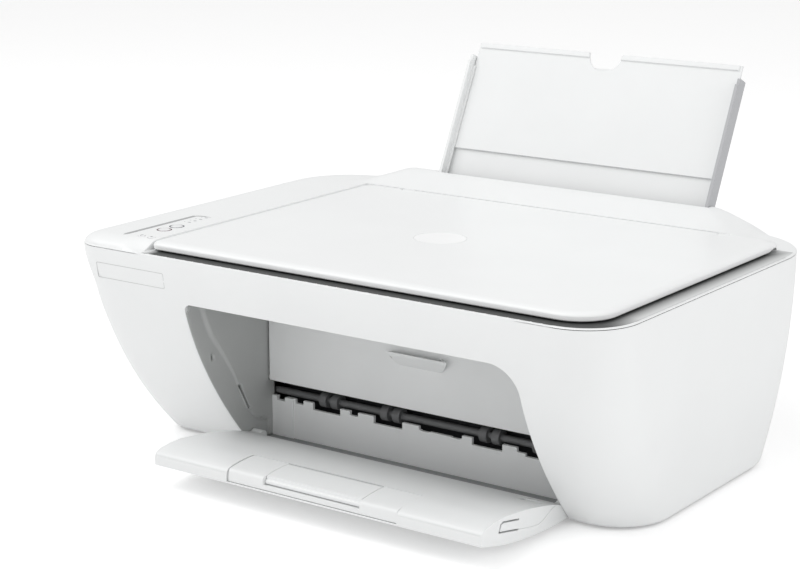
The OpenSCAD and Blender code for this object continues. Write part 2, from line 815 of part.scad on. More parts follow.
module carriage_rail() {
  color([0.68, 0.69, 0.71])
    difference() {
      union() {
        box([-137, 32, 51], [202, 33.5, 118]);
        box([-137, 22, 116.5], [202, 33.5, 118]);
        box([200, 8, 50], [202, 33.5, 118]);
        rod_y(13.5, 32.5, pulley_x1, belt_z, 2);
      }
      rod_y(20, 40, pulley_x0, belt_z, 3);
      rod_x(195, 205, 18, 62, rod_d / 2);
      for (x = [-90 : 40 : 150])
        rod_y(20, 40, x, 70, 5);
    }
}

module carriage_rod() {
  color([0.78, 0.78, 0.8])
    rod_x(-139.5, 202, 18, 62, rod_d / 2);
}

module carriage() {
  x0 = park_x;
  x1 = park_x + carriage_w;
  xc = park_x + carriage_w / 2;
  color([0.17, 0.17, 0.18])
    difference() {
      union() {
        box([x0, -40, 46], [x1, 12, 48]);
        box([x0, -40, 46], [x0 + 2.5, 12, 96]);
        box([x1 - 2.5, -40, 46], [x1, 12, 96]);
        box([xc - 1, -40, 46], [xc + 1, 12, 90]);
        box([x0, 10, 46], [x1, 12, 112]);
        box([x0, -40, 46], [x1, -39, 56]);
        side(x0, x1, [[10, 53], [23, 53], [27, 57], [27, 67], [23, 71], [10, 71]]);
        box([xc - 8, 11, 70], [xc + 8, 24, 89]);
        box([xc - 12, 11, 111], [xc + 12, 30, 115.7]);
      }
      rod_x(x0 - 1, x1 + 1, 18, 62, rod_d / 2 + fit);
      box([xc - 9, 15.4, 83.5], [xc + 9, 25, 85.5]);
      for (x = [x0 + 2.7, xc + 1.1])
        box([x, -34, 44], [x + 32.2, -10, 50]);
    }
}

module cartridge(x0, x1) {
  difference() {
    side(x0, x1, [[-38.7, 48.1], [-32, 48.1], [-32, 44.3], [-12, 44.3], [-12, 48.1], [9.7, 48.1], [9.7, 88],
      [3, 97], [-28, 101], [-38.7, 93]]);
    box([x0 + 4, -60, 84], [x1 - 4, -36.5, 90]);
  }
}

module black_cartridge() {
  color([0.08, 0.08, 0.09])
    cartridge(park_x + 37.3, park_x + 69.2);
}

module colour_cartridge() {
  color([0.15, 0.2, 0.35])
    cartridge(park_x + 2.8, park_x + 34.7);
}

module stadium(r) {
  translate([pulley_x0, belt_z])
    circle(r = r);
  translate([pulley_x1, belt_z])
    circle(r = r);
  translate([pulley_x0, belt_z - r])
    square([pulley_x1 - pulley_x0, 2 * r]);
}

module carriage_belt() {
  color([0.12, 0.12, 0.12])
    translate([0, belt_y + 6, 0])
      rotate([90, 0, 0])
        linear_extrude(6)
          difference() {
            stadium(6);
            stadium(5);
          }
}

module carriage_motor() {
  color([0.6, 0.61, 0.63])
    difference() {
      rod_y(33.5, 62, pulley_x0, belt_z, 10.5);
      rod_y(30, 47, pulley_x0, belt_z, 1.5 + fit);
    }
}

module pulley(x, hole) {
  difference() {
    union() {
      rod_y(belt_y - 1.2, belt_y + 7.2, x, belt_z, 4.9);
      rod_y(belt_y - 1.2, belt_y - 0.2, x, belt_z, 7);
      rod_y(belt_y + 6.2, belt_y + 7.2, x, belt_z, 7);
    }
    if (hole > 0)
      rod_y(belt_y - 2, belt_y + 8, x, belt_z, hole);
  }
}

module carriage_pulley() {
  color([0.75, 0.75, 0.76])
    union() {
      pulley(pulley_x0, 0);
      rod_y(belt_y, 45, pulley_x0, belt_z, 1.5);
    }
}

module idler_pulley() {
  color([0.75, 0.75, 0.76])
    pulley(pulley_x1, 2 + fit);
}

module platen() {
  color([0.16, 0.16, 0.17])
    union() {
      box([-112, -41, 38.2], [126, 16.5, 40.3]);
      for (x = [-100 : 20 : 120])
        box([x, -41, 40], [x + 1.6, 16.5, platen_z]);
      box([-112, -36, base_z + 0.05], [126, -34, 39]);
      box([-112, 11, base_z + 0.05], [126, 13, 39]);
    }
}

module feed_roller() {
  color([0.35, 0.35, 0.36])
    union() {
      rod_x(-112, 124, feed_y, feed_z, 6);
      rod_x(-150.5, 131, feed_y, feed_z, 3);
    }
}

module feed_gear() {
  color([0.9, 0.9, 0.86])
    gear_x(t_feed, -149.5, -142, feed_y, feed_z, 0, 3);
}

module feed_motor() {
  color([0.6, 0.61, 0.63])
    difference() {
      rod_x(-137, -113, motor_y, motor_z, 13.5);
      rod_x(-140, -125, motor_y, motor_z, 1.5 + fit);
    }
}

module motor_pinion() {
  color([0.8, 0.7, 0.4])
    union() {
      gear_x(t_motor, -149.5, -142, motor_y, motor_z, motor_a + 180 + 180 / t_motor + motor_a * t_feed / t_motor, 1.2);
      rod_x(-149.5, -127, motor_y, motor_z, 1.5);
    }
}

module idler_gear() {
  a = atan2(idle_z - feed_z, idle_y - feed_y);
  color([0.9, 0.9, 0.86])
    gear_x(t_idle, -149.5, -142, idle_y, idle_z, a + 180 + 180 / t_idle + a * t_feed / t_idle, 3 + fit);
}

module exit_gear() {
  a = atan2(idle_z - feed_z, idle_y - feed_y);
  b = atan2(exit_z - idle_z, exit_y - idle_y);
  own = a + 180 + 180 / t_idle + a * t_feed / t_idle;
  color([0.9, 0.9, 0.86])
    gear_x(t_exit, -149.5, -142, exit_y, exit_z, b + 180 + 180 / t_exit + (b - own) * t_idle / t_exit, 2.5);
}

module exit_roller() {
  color([0.12, 0.12, 0.12])
    union() {
      rod_x(-150.5, 131, exit_y, exit_z, 2.5);
      for (x = roller_x)
        for (d = [-8, 2])
          rod_x(x + d, x + d + 6, exit_y, exit_z, 5.5);
    }
}

module pinch_rollers() {
  color([0.5, 0.5, 0.52])
    union() {
      rod_x(-99.5, 112, feed_y, 46.3, 1.5);
      for (x = [-80, -25, 40, 95])
        rod_x(x - 12, x + 12, feed_y, 46.3, 4);
    }
}

module pinch_arm() {
  color([0.18, 0.18, 0.19])
    difference() {
      union() {
        box([-108, 34, 47], [126.5, 56, 49.5]);
        box([-108, 33.6, 47], [126.5, 35.5, 60]);
        for (x = [-99.5, -54, 6.5, 66, 109])
          box([x, 20.5, 44.6], [x + 3, 35, 49.5]);
      }
      rod_x(-110, 115, feed_y, 46.3, 1.5 + fit);
    }
}

module star_wheels() {
  color([0.1, 0.1, 0.1])
    union() {
      rod_x(-108, 124, exit_y, 46, 1);
      for (x = star_x)
        translate([x - 0.6, exit_y, 46])
          rotate([90, 0, 90])
            linear_extrude(1.2)
              polygon([for (i = [0 : 23]) let (r = i % 2 == 0 ? 4 : 3) [r * cos(15 * i), r * sin(15 * i)]]);
    }
}

module star_bar() {
  color([0.12, 0.12, 0.13])
    difference() {
      union() {
        box([-136.5, -52.2, 51], [126, -42.2, 53.5]);
        box([-136.5, -43.6, 45.5], [126, -42.2, 53.5]);
        box([-139.5, -50, 45], [-134.5, -43.5, 53.5]);
        box([125, -50, 43.05], [129.5, -43.5, 53.5]);
        for (x = [-109, -96, -78, -54, -27, 2, 32, 56, 82, 100, 124.5])
          box([x - 1, -51.5, 43.5], [x + 1, -43, 52]);
      }
      rod_x(-112, 130, exit_y, 46, 1 + fit);
    }
}

module pick_roller() {
  color([0.25, 0.25, 0.26])
    union() {
      rod_x(-142, 131, pick_y, pick_z, 4);
      for (x = [-22, 42])
        rod_x(x, x + 20, pick_y, pick_z, pick_r);
      for (x = [-22, 42])
        rod_x(x - 3, x + 23, pick_y, pick_z, 9);
    }
}

module service_base() {
  color([0.3, 0.3, 0.32])
    difference() {
      box([131, -40, base_z + 0.05], [194.5, 12, 34]);
      box([133, -38, base_z + 2], [192.5, 10, 40]);
    }
}

module service_sled() {
  color([0.45, 0.46, 0.48])
    union() {
      difference() {
        box([134, -36, 24], [191.5, 8, 36]);
        box([136, -34, 26], [189.5, 6, 40]);
      }
      for (x = [park_x + 18.7, park_x + 53.2])
        difference() {
          box([x - 10, -32, 25], [x + 10, -12, 43.7]);
          box([x - 8, -30, 40], [x + 8, -14, 50]);
        }
      box([162.5, -30, 25], [163.7, -8, 43.9]);
    }
}

module main_board() {
  color([0.1, 0.35, 0.2])
    union() {
      box([-191, -70, 12.05], [-154, 12, 13.6]);
      box([-182, -40, 13.5], [-166, -24, 15]);
      box([-178, -10, 13.5], [-168, 4, 14.8]);
      for (y = [-60, -50, 8])
        translate([-162, y, 13.5])
          cylinder(r = 3, h = 9);
      box([-190, -20, 13.5], [-185, 8, 20]);
    }
}

module power_unit() {
  color([0.2, 0.2, 0.21])
    difference() {
      box([-184, 40, base_z + 0.05], [-153, 110, 52]);
      for (i = [0 : 7])
        box([-178, 46 + 8 * i, 48], [-159, 49 + 8 * i, 60]);
    }
}

module power_inlet() {
  color([0.1, 0.1, 0.1])
    difference() {
      union() {
        box([-132.5, 120, 19.5], [-111.5, 141.6, 36.5]);
        box([-136, 134.7, base_z + 0.05], [-108, 137.2, 40]);
      }
      difference() {
        union() {
          for (x = [-126, -118])
            rod_y(126, 150, x, 28, 4.2);
          box([-126, 126, 23.8], [-118, 150, 32.2]);
        }
        for (x = [-126, -118])
          rod_y(125, 139, x, 28, 1.2);
      }
    }
}

module usb_port() {
  color([0.7, 0.7, 0.72])
    difference() {
      union() {
        box([-91, 124, 22], [-79, 142.2, 33]);
        box([-95, 124, base_z + 0.05], [-75, 126, 36]);
      }
      difference() {
        box([-90, 127, 23], [-80, 150, 32]);
        box([-88, 126, 25], [-82, 139, 29.5]);
      }
    }
}

// ---- nodes ----

outer_case();
base_pan();
feet();
case_screws();
top_frame();
lid();
lid_pad();
lid_pins();
scan_glass();
scanner_tub();
scan_rod();
scan_head();
button_board();
colour_button();
mono_button();
cancel_button();
resume_button();
status_bar();
status_lights();
cavity_liner();
exit_wall();
access_door();
output_tray();
output_extension();
paper_flap();
input_tray();
input_extension();
paper_ramp();
width_guide();
chassis_left();
chassis_right();
carriage_rail();
carriage_rod();
carriage();
black_cartridge();
colour_cartridge();
carriage_belt();
carriage_motor();
carriage_pulley();
idler_pulley();
platen();
feed_roller();
feed_gear();
feed_motor();
motor_pinion();
idler_gear();
exit_roller();
exit_gear();
pinch_rollers();
pinch_arm();
star_wheels();
star_bar();
pick_roller();
service_base();
service_sled();
main_board();
power_unit();
power_inlet();
usb_port();
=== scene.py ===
"""Looks of an all-in-one inkjet printer: smooth shells, finishes, soft light and a camera.

Lengths are millimetres in the frame's own axes; build() turns them into metres.
"""
import json
import math

import bmesh
import bpy
import numpy as np
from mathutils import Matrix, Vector
from mathutils.geometry import delaunay_2d_cdt


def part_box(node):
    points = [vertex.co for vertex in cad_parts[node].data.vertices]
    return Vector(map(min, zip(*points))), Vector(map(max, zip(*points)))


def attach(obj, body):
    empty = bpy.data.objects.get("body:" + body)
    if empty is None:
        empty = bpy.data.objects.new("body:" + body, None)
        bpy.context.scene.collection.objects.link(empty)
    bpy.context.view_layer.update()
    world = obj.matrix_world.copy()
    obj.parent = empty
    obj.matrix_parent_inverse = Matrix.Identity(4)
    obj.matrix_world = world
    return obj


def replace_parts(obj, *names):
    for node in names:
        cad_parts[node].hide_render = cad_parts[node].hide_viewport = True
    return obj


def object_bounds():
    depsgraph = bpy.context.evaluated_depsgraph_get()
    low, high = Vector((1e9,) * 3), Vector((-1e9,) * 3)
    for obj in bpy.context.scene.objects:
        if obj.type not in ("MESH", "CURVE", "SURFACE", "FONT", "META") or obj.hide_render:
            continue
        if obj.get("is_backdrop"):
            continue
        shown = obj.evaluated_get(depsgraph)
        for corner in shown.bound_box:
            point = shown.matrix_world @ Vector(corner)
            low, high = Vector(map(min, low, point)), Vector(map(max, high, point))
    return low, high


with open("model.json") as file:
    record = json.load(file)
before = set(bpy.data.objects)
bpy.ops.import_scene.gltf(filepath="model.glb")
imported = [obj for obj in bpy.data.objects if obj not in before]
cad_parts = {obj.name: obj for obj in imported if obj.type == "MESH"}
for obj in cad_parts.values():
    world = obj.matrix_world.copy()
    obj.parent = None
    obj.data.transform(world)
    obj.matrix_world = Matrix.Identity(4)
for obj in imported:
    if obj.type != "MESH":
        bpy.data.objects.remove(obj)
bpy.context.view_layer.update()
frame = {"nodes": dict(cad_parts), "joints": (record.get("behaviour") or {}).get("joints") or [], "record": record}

MM = 0.001


def span(node):
    """Lowest and highest corner of a CAD node, in millimetres."""
    low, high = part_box(node)
    return low / MM, high / MM


# ---- the case's form, as the CAD draws it ----

CASE_LOW, CASE_HIGH = span("outer_case")
RIM_Z = CASE_HIGH.z
HALF_W = CASE_HIGH.x
FRONT, REAR = CASE_LOW.y, CASE_HIGH.y
FOOT_Z = CASE_LOW.z
WALL = 2.5
FRONT_LEAN, SIDE_LEAN, REAR_LEAN = 74.5, 15.3, 10.6
R_REAR, R_LEFT, R_RIGHT = 58, 22, 37
ARC_STEPS = 20

LID_LOW, LID_HIGH = span("lid")
TOP_HIGH = span("top_frame")[1]
TRAY_LOW, TRAY_HIGH = span("output_tray")
SUPPORT_LOW, SUPPORT_HIGH = span("input_tray")
MOUTH_X0, MOUTH_X1 = TRAY_LOW.x + 4.6, TRAY_HIGH.x - 4.6
MOUTH_Z = 119
LIP = 0.7


def down(z):
    """0 at the rim, 1 on the ground."""
    return max(0.0, 1 - z / RIM_Z)


def nip(z):
    """Rounding of the case's lower edge."""
    return 0.0 if z >= 4.5 else 3 * (1 - math.sqrt(1 - ((4.5 - z) / 3.2) ** 2))


def front_y(z):
    return FRONT + FRONT_LEAN * down(z) ** 1.8 + nip(z)


def side_x(z):
    return HALF_W - SIDE_LEAN * down(z) ** 2 - nip(z)


def rear_y(z):
    return REAR - REAR_LEAN * down(z) ** 2 - nip(z)


def arc(cx, cy, r, start, steps=ARC_STEPS):
    """A quarter turn about (cx, cy), both ends included."""
    angles = [math.radians(start + 90 * i / steps) for i in range(steps + 1)]
    return [(cx + r * math.cos(a), cy + r * math.sin(a)) for a in angles]


def ellipse(centre, radii, steps=96):
    turns = [2 * math.pi * i / steps for i in range(steps)]
    return [(centre[0] + radii[0] * math.cos(a), centre[1] + radii[1] * math.sin(a)) for a in turns]


def circle(x, y, r, steps=40):
    return ellipse((x, y), (r, r), steps)


def swept(centre, r, turns):
    """The points on a circle at the given turns."""
    return [(centre[0] + r * math.cos(a), centre[1] + r * math.sin(a)) for a in turns]


def between(a, b, steps):
    """The points strictly between a and b."""
    return [(a[0] + (b[0] - a[0]) * i / steps, a[1] + (b[1] - a[1]) * i / steps) for i in range(1, steps)]


def spaced(a, b, step):
    """The points strictly between a and b, about step apart."""
    return between(a, b, max(1, round(math.dist(a, b) / step)))


def plate(x0, x1, y0, y1, radii, steps=ARC_STEPS):
    """A rounded rectangle, counter-clockwise; radii are rear right, rear left, front left, front right."""
    rr, rl, fl, fr = radii
    return (
        arc(x1 - rr, y1 - rr, rr, 0, steps)
        + arc(x0 + rl, y1 - rl, rl, 90, steps)
        + arc(x0 + fl, y0 + fl, fl, 180, steps)
        + arc(x1 - fr, y0 + fr, fr, 270, steps)
    )


def rim_outline(d):
    """The case's outline at the rim, drawn in by d."""
    radii = (R_REAR - d, R_REAR - d, R_LEFT - d, R_RIGHT - d)
    return plate(-HALF_W + d, HALF_W - d, FRONT + d, REAR - d, radii)


def inset(x, y):
    """How far a point lies inside the rim."""
    r = R_REAR if y > 0 else (R_LEFT if x < 0 else R_RIGHT)
    u = HALF_W - abs(x)
    v = REAR - y if y > 0 else y - FRONT
    return r - math.hypot(r - u, r - v) if u < r and v < r else min(u, v)


# ---- mesh tools ----


def build(bm, name, body, slot, replaced=(), bevel=0.35, wall=0.0, sharp=40):
    """Turns a bmesh in millimetres into a finished piece on a body."""
    bmesh.ops.remove_doubles(bm, verts=bm.verts, dist=1e-4)
    bmesh.ops.dissolve_degenerate(bm, edges=bm.edges, dist=1e-4)
    bmesh.ops.recalc_face_normals(bm, faces=bm.faces)
    bmesh.ops.scale(bm, vec=(MM, MM, MM), verts=bm.verts)
    mesh = bpy.data.meshes.new(name)
    bm.to_mesh(mesh)
    bm.free()
    mesh.polygons.foreach_set("use_smooth", [True] * len(mesh.polygons))
    piece = bpy.data.objects.new(name, mesh)
    bpy.context.scene.collection.objects.link(piece)
    if wall:
        solid = piece.modifiers.new("wall", "SOLIDIFY")
        solid.thickness = wall * MM
        solid.offset = -1
        solid.use_even_offset = True
    soften(piece, bevel, sharp)
    mesh.materials.append(finish_of(slot))
    if replaced:
        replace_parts(piece, *replaced)
    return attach(piece, body)


def soften(piece, width, sharp=40):
    """Breaks the sharp edges and keeps the flat faces flat in the shading."""
    if width:
        bevel = piece.modifiers.new("edges", "BEVEL")
        bevel.width = width * MM
        bevel.segments = 2
        bevel.limit_method = "ANGLE"
        bevel.angle_limit = math.radians(sharp)
        bevel.use_clamp_overlap = True
    normals = piece.modifiers.new("normals", "WEIGHTED_NORMAL")
    normals.weight = 80


def inside(points, loop):
    """Which of the points lie inside a closed loop."""
    p = np.asarray(points, float)
    a = np.asarray(loop, float)
    b = np.roll(a, -1, 0)
    hit = np.zeros(len(p), bool)
    for (ax, ay), (bx, by) in zip(a, b):
        if ay != by:
            cross = ax + (p[:, 1] - ay) / (by - ay) * (bx - ax)
            hit ^= ((ay > p[:, 1]) != (by > p[:, 1])) & (p[:, 0] < cross)
    return hit


def clear_of(points, loop, gap):
    """The points that are at least gap away from a loop's sides."""
    p = np.asarray(points, float).reshape(-1, 2)
    near = np.full(len(p), 1e9)
    a = np.asarray(loop, float)
    for start, end in zip(a, np.roll(a, -1, 0)):
        d = end - start
        t = np.clip(((p - start) @ d) / max(d @ d, 1e-9), 0, 1)
        near = np.minimum(near, np.hypot(*(p - start - t[:, None] * d).T))
    return [tuple(q) for q in p[near > gap]]


def triangulate(border, holes, inner):
    """Triangles of a flat area with holes; inner points shape its curved stretches."""
    points, edges = [], []
    for loop in [border, *holes]:
        start = len(points)
        points += loop
        edges += [(start + i, start + (i + 1) % len(loop)) for i in range(len(loop))]
    points += inner
    found = delaunay_2d_cdt([Vector(p) for p in points], edges, [], 0, 1e-5)
    points, faces = [tuple(p) for p in found[0]], found[2]
    centres = [np.mean([points[i] for i in f], 0) for f in faces]
    keep = inside(centres, border)
    for hole in holes:
        keep &= ~inside(centres, hole)
    return points, [f for f, k in zip(faces, keep) if k]


def grid(x0, x1, y0, y1, step):
    """Evenly spread points strictly inside a rectangle."""
    nx, ny = max(2, round((x1 - x0) / step)), max(2, round((y1 - y0) / step))
    return [(x0 + (x1 - x0) * i / nx, y0 + (y1 - y0) * j / ny) for i in range(1, nx) for j in range(1, ny)]


def slab(regions, bottom, place=lambda u, v, h: (u, v, h)):
    """A closed solid over flat regions that share edges.

    Each region is (border, holes, inner points, top height as a function); a step between two makes a wall.
    """
    bm = bmesh.new()
    under, open_edges = {}, {}

    def low(p):
        key = (round(p[0], 3), round(p[1], 3))
        if key not in under:
            under[key] = bm.verts.new(place(*p, bottom(*p)))
        return under[key]

    def wall(a, b, c, d):
        corners = list(dict.fromkeys((a, b, c, d)))
        if len(corners) > 2:
            bm.faces.new(corners)

    for border, holes, inner, top in regions:
        points, triangles = triangulate(border, holes, inner)
        high = [bm.verts.new(place(*p, top(*p))) for p in points]
        count = {}
        for t in triangles:
            bm.faces.new([high[i] for i in t])
            bm.faces.new([low(points[i]) for i in reversed(t)])
            for i in range(3):
                count.setdefault(frozenset((t[i], t[(i + 1) % 3])), []).append((t[i], t[(i + 1) % 3]))
        for uses in count.values():
            if len(uses) > 1:
                continue
            i, j = uses[0]
            key = frozenset((low(points[i]), low(points[j])))
            if key in open_edges:
                other = open_edges.pop(key)
                wall(high[i], high[j], other[low(points[j])], other[low(points[i])])
            else:
                open_edges[key] = {low(points[i]): high[i], low(points[j]): high[j]}
    for ends in open_edges.values():
        (low_a, high_a), (low_b, high_b) = ends.items()
        wall(high_a, high_b, low_b, low_a)
    loose = [v for v in bm.verts if not v.link_faces]
    bmesh.ops.delete(bm, geom=loose, context="VERTS")
    return bm


def prism(outline, x0, x1):
    """A side outline of (y, z) points, run along X."""
    return slab([(outline, [], [], lambda u, v: x1)], lambda u, v: x0, lambda y, z, x: (x, y, z))


def lathe(profile, centre, steps=64):
    """A profile of (radius, height) points turned about a vertical axis."""
    bm = bmesh.new()
    rings = []
    for r, h in profile:
        if r == 0:
            rings.append([bm.verts.new((centre[0], centre[1], h))] * steps)
        else:
            rings.append([bm.verts.new((*p, h)) for p in circle(*centre, r, steps)])
    for lower, upper in zip(rings, rings[1:]):
        for i in range(steps):
            j = (i + 1) % steps
            corners = list(dict.fromkeys((lower[i], lower[j], upper[j], upper[i])))
            if len(corners) > 2:
                bm.faces.new(corners)
    return bm


# ---- finishes ----


def shader(name, colour, rough, bump=0.0, grain=900, spread=0.03, metal=0.0, stretch=(1, 1, 1), **sockets):
    """A moulded or metal finish: fine grain in the surface, a little unevenness in colour and gloss."""
    material = bpy.data.materials.new(name)
    material.use_nodes = True
    nodes, links = material.node_tree.nodes, material.node_tree.links
    bsdf = nodes["Principled BSDF"]
    bsdf.inputs["Metallic"].default_value = metal
    for socket, value in sockets.items():
        bsdf.inputs[socket.replace("_", " ")].default_value = value
    where = nodes.new("ShaderNodeTexCoord")
    spaced = nodes.new("ShaderNodeMapping")
    spaced.inputs["Scale"].default_value = stretch
    links.new(where.outputs["Object"], spaced.inputs["Vector"])

    def noise(scale, detail):
        node = nodes.new("ShaderNodeTexNoise")
        node.inputs["Scale"].default_value = scale
        node.inputs["Detail"].default_value = detail
        links.new(spaced.outputs["Vector"], node.inputs["Vector"])
        return node

    cloud = noise(18, 3)
    ramp = nodes.new("ShaderNodeValToRGB")
    ramp.color_ramp.elements[0].position = 0.3
    ramp.color_ramp.elements[1].position = 0.7
    ramp.color_ramp.elements[0].color = [c * (1 - spread) for c in colour] + [1]
    ramp.color_ramp.elements[1].color = [min(1, c * (1 + spread)) for c in colour] + [1]
    links.new(cloud.outputs["Fac"], ramp.inputs["Fac"])
    links.new(ramp.outputs["Color"], bsdf.inputs["Base Color"])
    fine = noise(grain, 4)
    gloss = nodes.new("ShaderNodeMapRange")
    gloss.inputs["To Min"].default_value = rough * 0.85
    gloss.inputs["To Max"].default_value = min(1, rough * 1.15)
    links.new(fine.outputs["Fac"], gloss.inputs["Value"])
    links.new(gloss.outputs["Result"], bsdf.inputs["Roughness"])
    if bump:
        relief = nodes.new("ShaderNodeBump")
        relief.inputs["Strength"].default_value = bump
        relief.inputs["Distance"].default_value = 0.00006
        links.new(fine.outputs["Fac"], relief.inputs["Height"])
        links.new(relief.outputs["Normal"], bsdf.inputs["Normal"])
    return material


DRAWN = (0.05, 1, 1)  # grain drawn out along X
FINISHES = {
    "case_white": dict(colour=(0.872, 0.882, 0.882), rough=0.38, bump=0.35, grain=2200, spread=0.008),
    "lid_white": dict(colour=(0.89, 0.9, 0.9), rough=0.33, bump=0.3, grain=2600, spread=0.008),
    "liner_grey": dict(colour=(0.5, 0.51, 0.505), rough=0.55, bump=0.5, grain=1800, spread=0.015),
    "door_grey": dict(colour=(0.9, 0.91, 0.91), rough=0.5, bump=0.5, grain=1800, spread=0.012),
    "tray_white": dict(colour=(0.84, 0.85, 0.85), rough=0.42, bump=0.4, grain=2000, spread=0.01),
    "base_grey": dict(colour=(0.32, 0.325, 0.33), rough=0.6, bump=0.6, grain=1500),
    "black_plastic": dict(colour=(0.018, 0.018, 0.02), rough=0.42, bump=0.4, grain=1800),
    "mid_plastic": dict(colour=(0.16, 0.162, 0.165), rough=0.5, bump=0.4, grain=1800),
    "dark_plastic": dict(colour=(0.05, 0.052, 0.056), rough=0.5, bump=0.4, grain=1800),
    "gear_plastic": dict(colour=(0.72, 0.7, 0.62), rough=0.4, bump=0.2, grain=1500),
    "roller_rubber": dict(colour=(0.02, 0.02, 0.021), rough=0.8, bump=0.8, grain=1400),
    "foot_rubber": dict(colour=(0.045, 0.045, 0.047), rough=0.85, bump=0.8, grain=1400),
    "steel": dict(colour=(0.55, 0.56, 0.58), rough=0.34, metal=1.0, bump=0.3, grain=600, stretch=DRAWN),
    "bright_steel": dict(colour=(0.74, 0.75, 0.77), rough=0.16, metal=1.0, bump=0.1, grain=900),
    "zinc": dict(colour=(0.58, 0.6, 0.62), rough=0.4, metal=1.0, bump=0.3, grain=500, spread=0.08),
    "brass": dict(colour=(0.72, 0.52, 0.22), rough=0.3, metal=1.0, bump=0.2, grain=700),
    "glass": dict(colour=(0.9, 0.96, 0.95), rough=0.03, spread=0.0, Transmission_Weight=0.85, IOR=1.5),
    "foam_white": dict(colour=(0.84, 0.84, 0.83), rough=0.9, bump=0.9, grain=700),
    "board_green": dict(colour=(0.012, 0.12, 0.045), rough=0.35, bump=0.3, grain=900, Coat_Weight=0.3),
    "guide_blue": dict(colour=(0.06, 0.18, 0.42), rough=0.42, bump=0.3, grain=1800),
    "ink_blue": dict(colour=(0.03, 0.07, 0.2), rough=0.45, bump=0.3, grain=1800),
    "inlay_grey": dict(colour=(0.36, 0.365, 0.37), rough=0.3, bump=0.2, grain=1800),
    "button_white": dict(colour=(0.84, 0.845, 0.85), rough=0.3, bump=0.2, grain=2400, spread=0.006),
    "lamp_clear": dict(colour=(0.5, 0.52, 0.54), rough=0.25, bump=0.1, grain=1800),
}
made_finishes = {}


def finish_of(slot):
    if slot not in made_finishes:
        made_finishes[slot] = shader(slot, **FINISHES[slot])
    return made_finishes[slot]


def print_of(name, colour):
    """A thin printed mark, or a thin line of painted shade."""
    if name not in made_finishes:
        made_finishes[name] = shader(name, colour, 0.4, bump=0.1, grain=2400, spread=0.02)
    return made_finishes[name]


def painted_shade_seat_finish():
    """Painted shade under the lid's edge: charcoal at the front, paling outwards along the side and towards both
    ends of the lid.
    """
    material = shader("seat", (0.1, 0.1, 0.1), 0.55, bump=0.4, grain=1800)
    nodes, links = material.node_tree.nodes, material.node_tree.links
    split = nodes.new("ShaderNodeSeparateXYZ")
    links.new(nodes.new("ShaderNodeTexCoord").outputs["Object"], split.inputs["Vector"])

    def fade(axis, start, end, low, high):
        node = nodes.new("ShaderNodeMapRange")
        node.inputs["From Min"].default_value = start * MM
        node.inputs["From Max"].default_value = end * MM
        node.inputs["To Min"].default_value = low
        node.inputs["To Max"].default_value = high
        links.new(split.outputs[axis], node.inputs["Value"])
        return node.outputs["Result"]

    def combine(kind, a, b):
        node = nodes.new("ShaderNodeMath")
        node.operation = kind
        links.new(a, node.inputs[0])
        links.new(b, node.inputs[1])
        return node.outputs["Value"]

    # painted shade: darkest next to the lid, paling towards the rim, and reaching the ledge's own white at the
    # lid's ends
    outwards = fade("X", LID_HIGH.x - 1, HALF_W - 3, 0, 0.8)
    side = combine("MULTIPLY", outwards, fade("Y", FRONT + 16, FRONT + 45, 0, 1))
    ends = combine("MAXIMUM", fade("X", LID_LOW.x, LID_LOW.x + 9, 1, 0), fade("Y", 88, 116, 0, 1))
    # the ramp runs from the charcoal of the painted shade to the white of the ledge
    painted_shade_ramp = nodes.new("ShaderNodeValToRGB")
    painted_shade_ramp.color_ramp.elements[0].color = (0.06, 0.063, 0.062, 1)
    painted_shade_ramp.color_ramp.elements[1].color = (0.84, 0.85, 0.85, 1)
    links.new(combine("MAXIMUM", side, ends), painted_shade_ramp.inputs["Fac"])
    links.new(painted_shade_ramp.outputs["Color"], nodes["Principled BSDF"].inputs["Base Color"])
    return material


def support_finish():
    """The paper support's white, with the grey of its right-hand edge."""
    material = shader("support_white", **FINISHES["tray_white"])
    nodes, links = material.node_tree.nodes, material.node_tree.links
    bsdf = nodes["Principled BSDF"]
    split = nodes.new("ShaderNodeSeparateXYZ")
    links.new(nodes.new("ShaderNodeTexCoord").outputs["Object"], split.inputs["Vector"])
    band = nodes.new("ShaderNodeMapRange")
    band.inputs["From Min"].default_value = (SUPPORT_HIGH.x - 4.6) * MM
    band.inputs["From Max"].default_value = (SUPPORT_HIGH.x - 4.2) * MM
    links.new(split.outputs["X"], band.inputs["Value"])
    mix = nodes.new("ShaderNodeMix")
    mix.data_type = "RGBA"
    links.new(band.outputs["Result"], mix.inputs["Factor"])
    links.new(bsdf.inputs["Base Color"].links[0].from_socket, mix.inputs[6])
    mix.inputs[7].default_value = (0.46, 0.465, 0.48, 1)
    links.new(mix.outputs[2], bsdf.inputs["Base Color"])
    return material


# nodes shown lighter than their slot, so that they read inside the dark exit slot
LIGHTER = {"star_bar": "mid_plastic", "star_wheels": "dark_plastic", "exit_roller": "mid_plastic"}


def dress_cad():
    """Gives each CAD node its finish and breaks its sharp edges."""
    for part in frame["record"]["subparts"]:
        node = frame["nodes"][part["node"]]
        node.data.materials.clear()
        slot = LIGHTER.get(part["node"], part["material_slot"])
        node.data.materials.append(support_finish() if part["node"] == "input_tray" else finish_of(slot))
        weld = node.modifiers.new("weld", "WELD")
        weld.merge_threshold = 0.00001
        flat = node.modifiers.new("flat", "DECIMATE")
        flat.decimate_type = "DISSOLVE"
        flat.angle_limit = math.radians(1)
        soften(node, 0.25)


# ---- case ----

LEVELS = [FOOT_Z, 1.8, 2.3, 3, 3.7, 4.5] + [4.5 + (RIM_Z - 4.5) * i / 36 for i in range(1, 37)]
FRONT_X = [-130 + 285 * i / 57 for i in range(58)]
REAR_X = [135.5 - 271 * i / 54 for i in range(55)]


def rounded(x0, x1, y0, y1, r, steps=6):
    return plate(x0, x1, y0, y1, (r, r, r, r), steps)


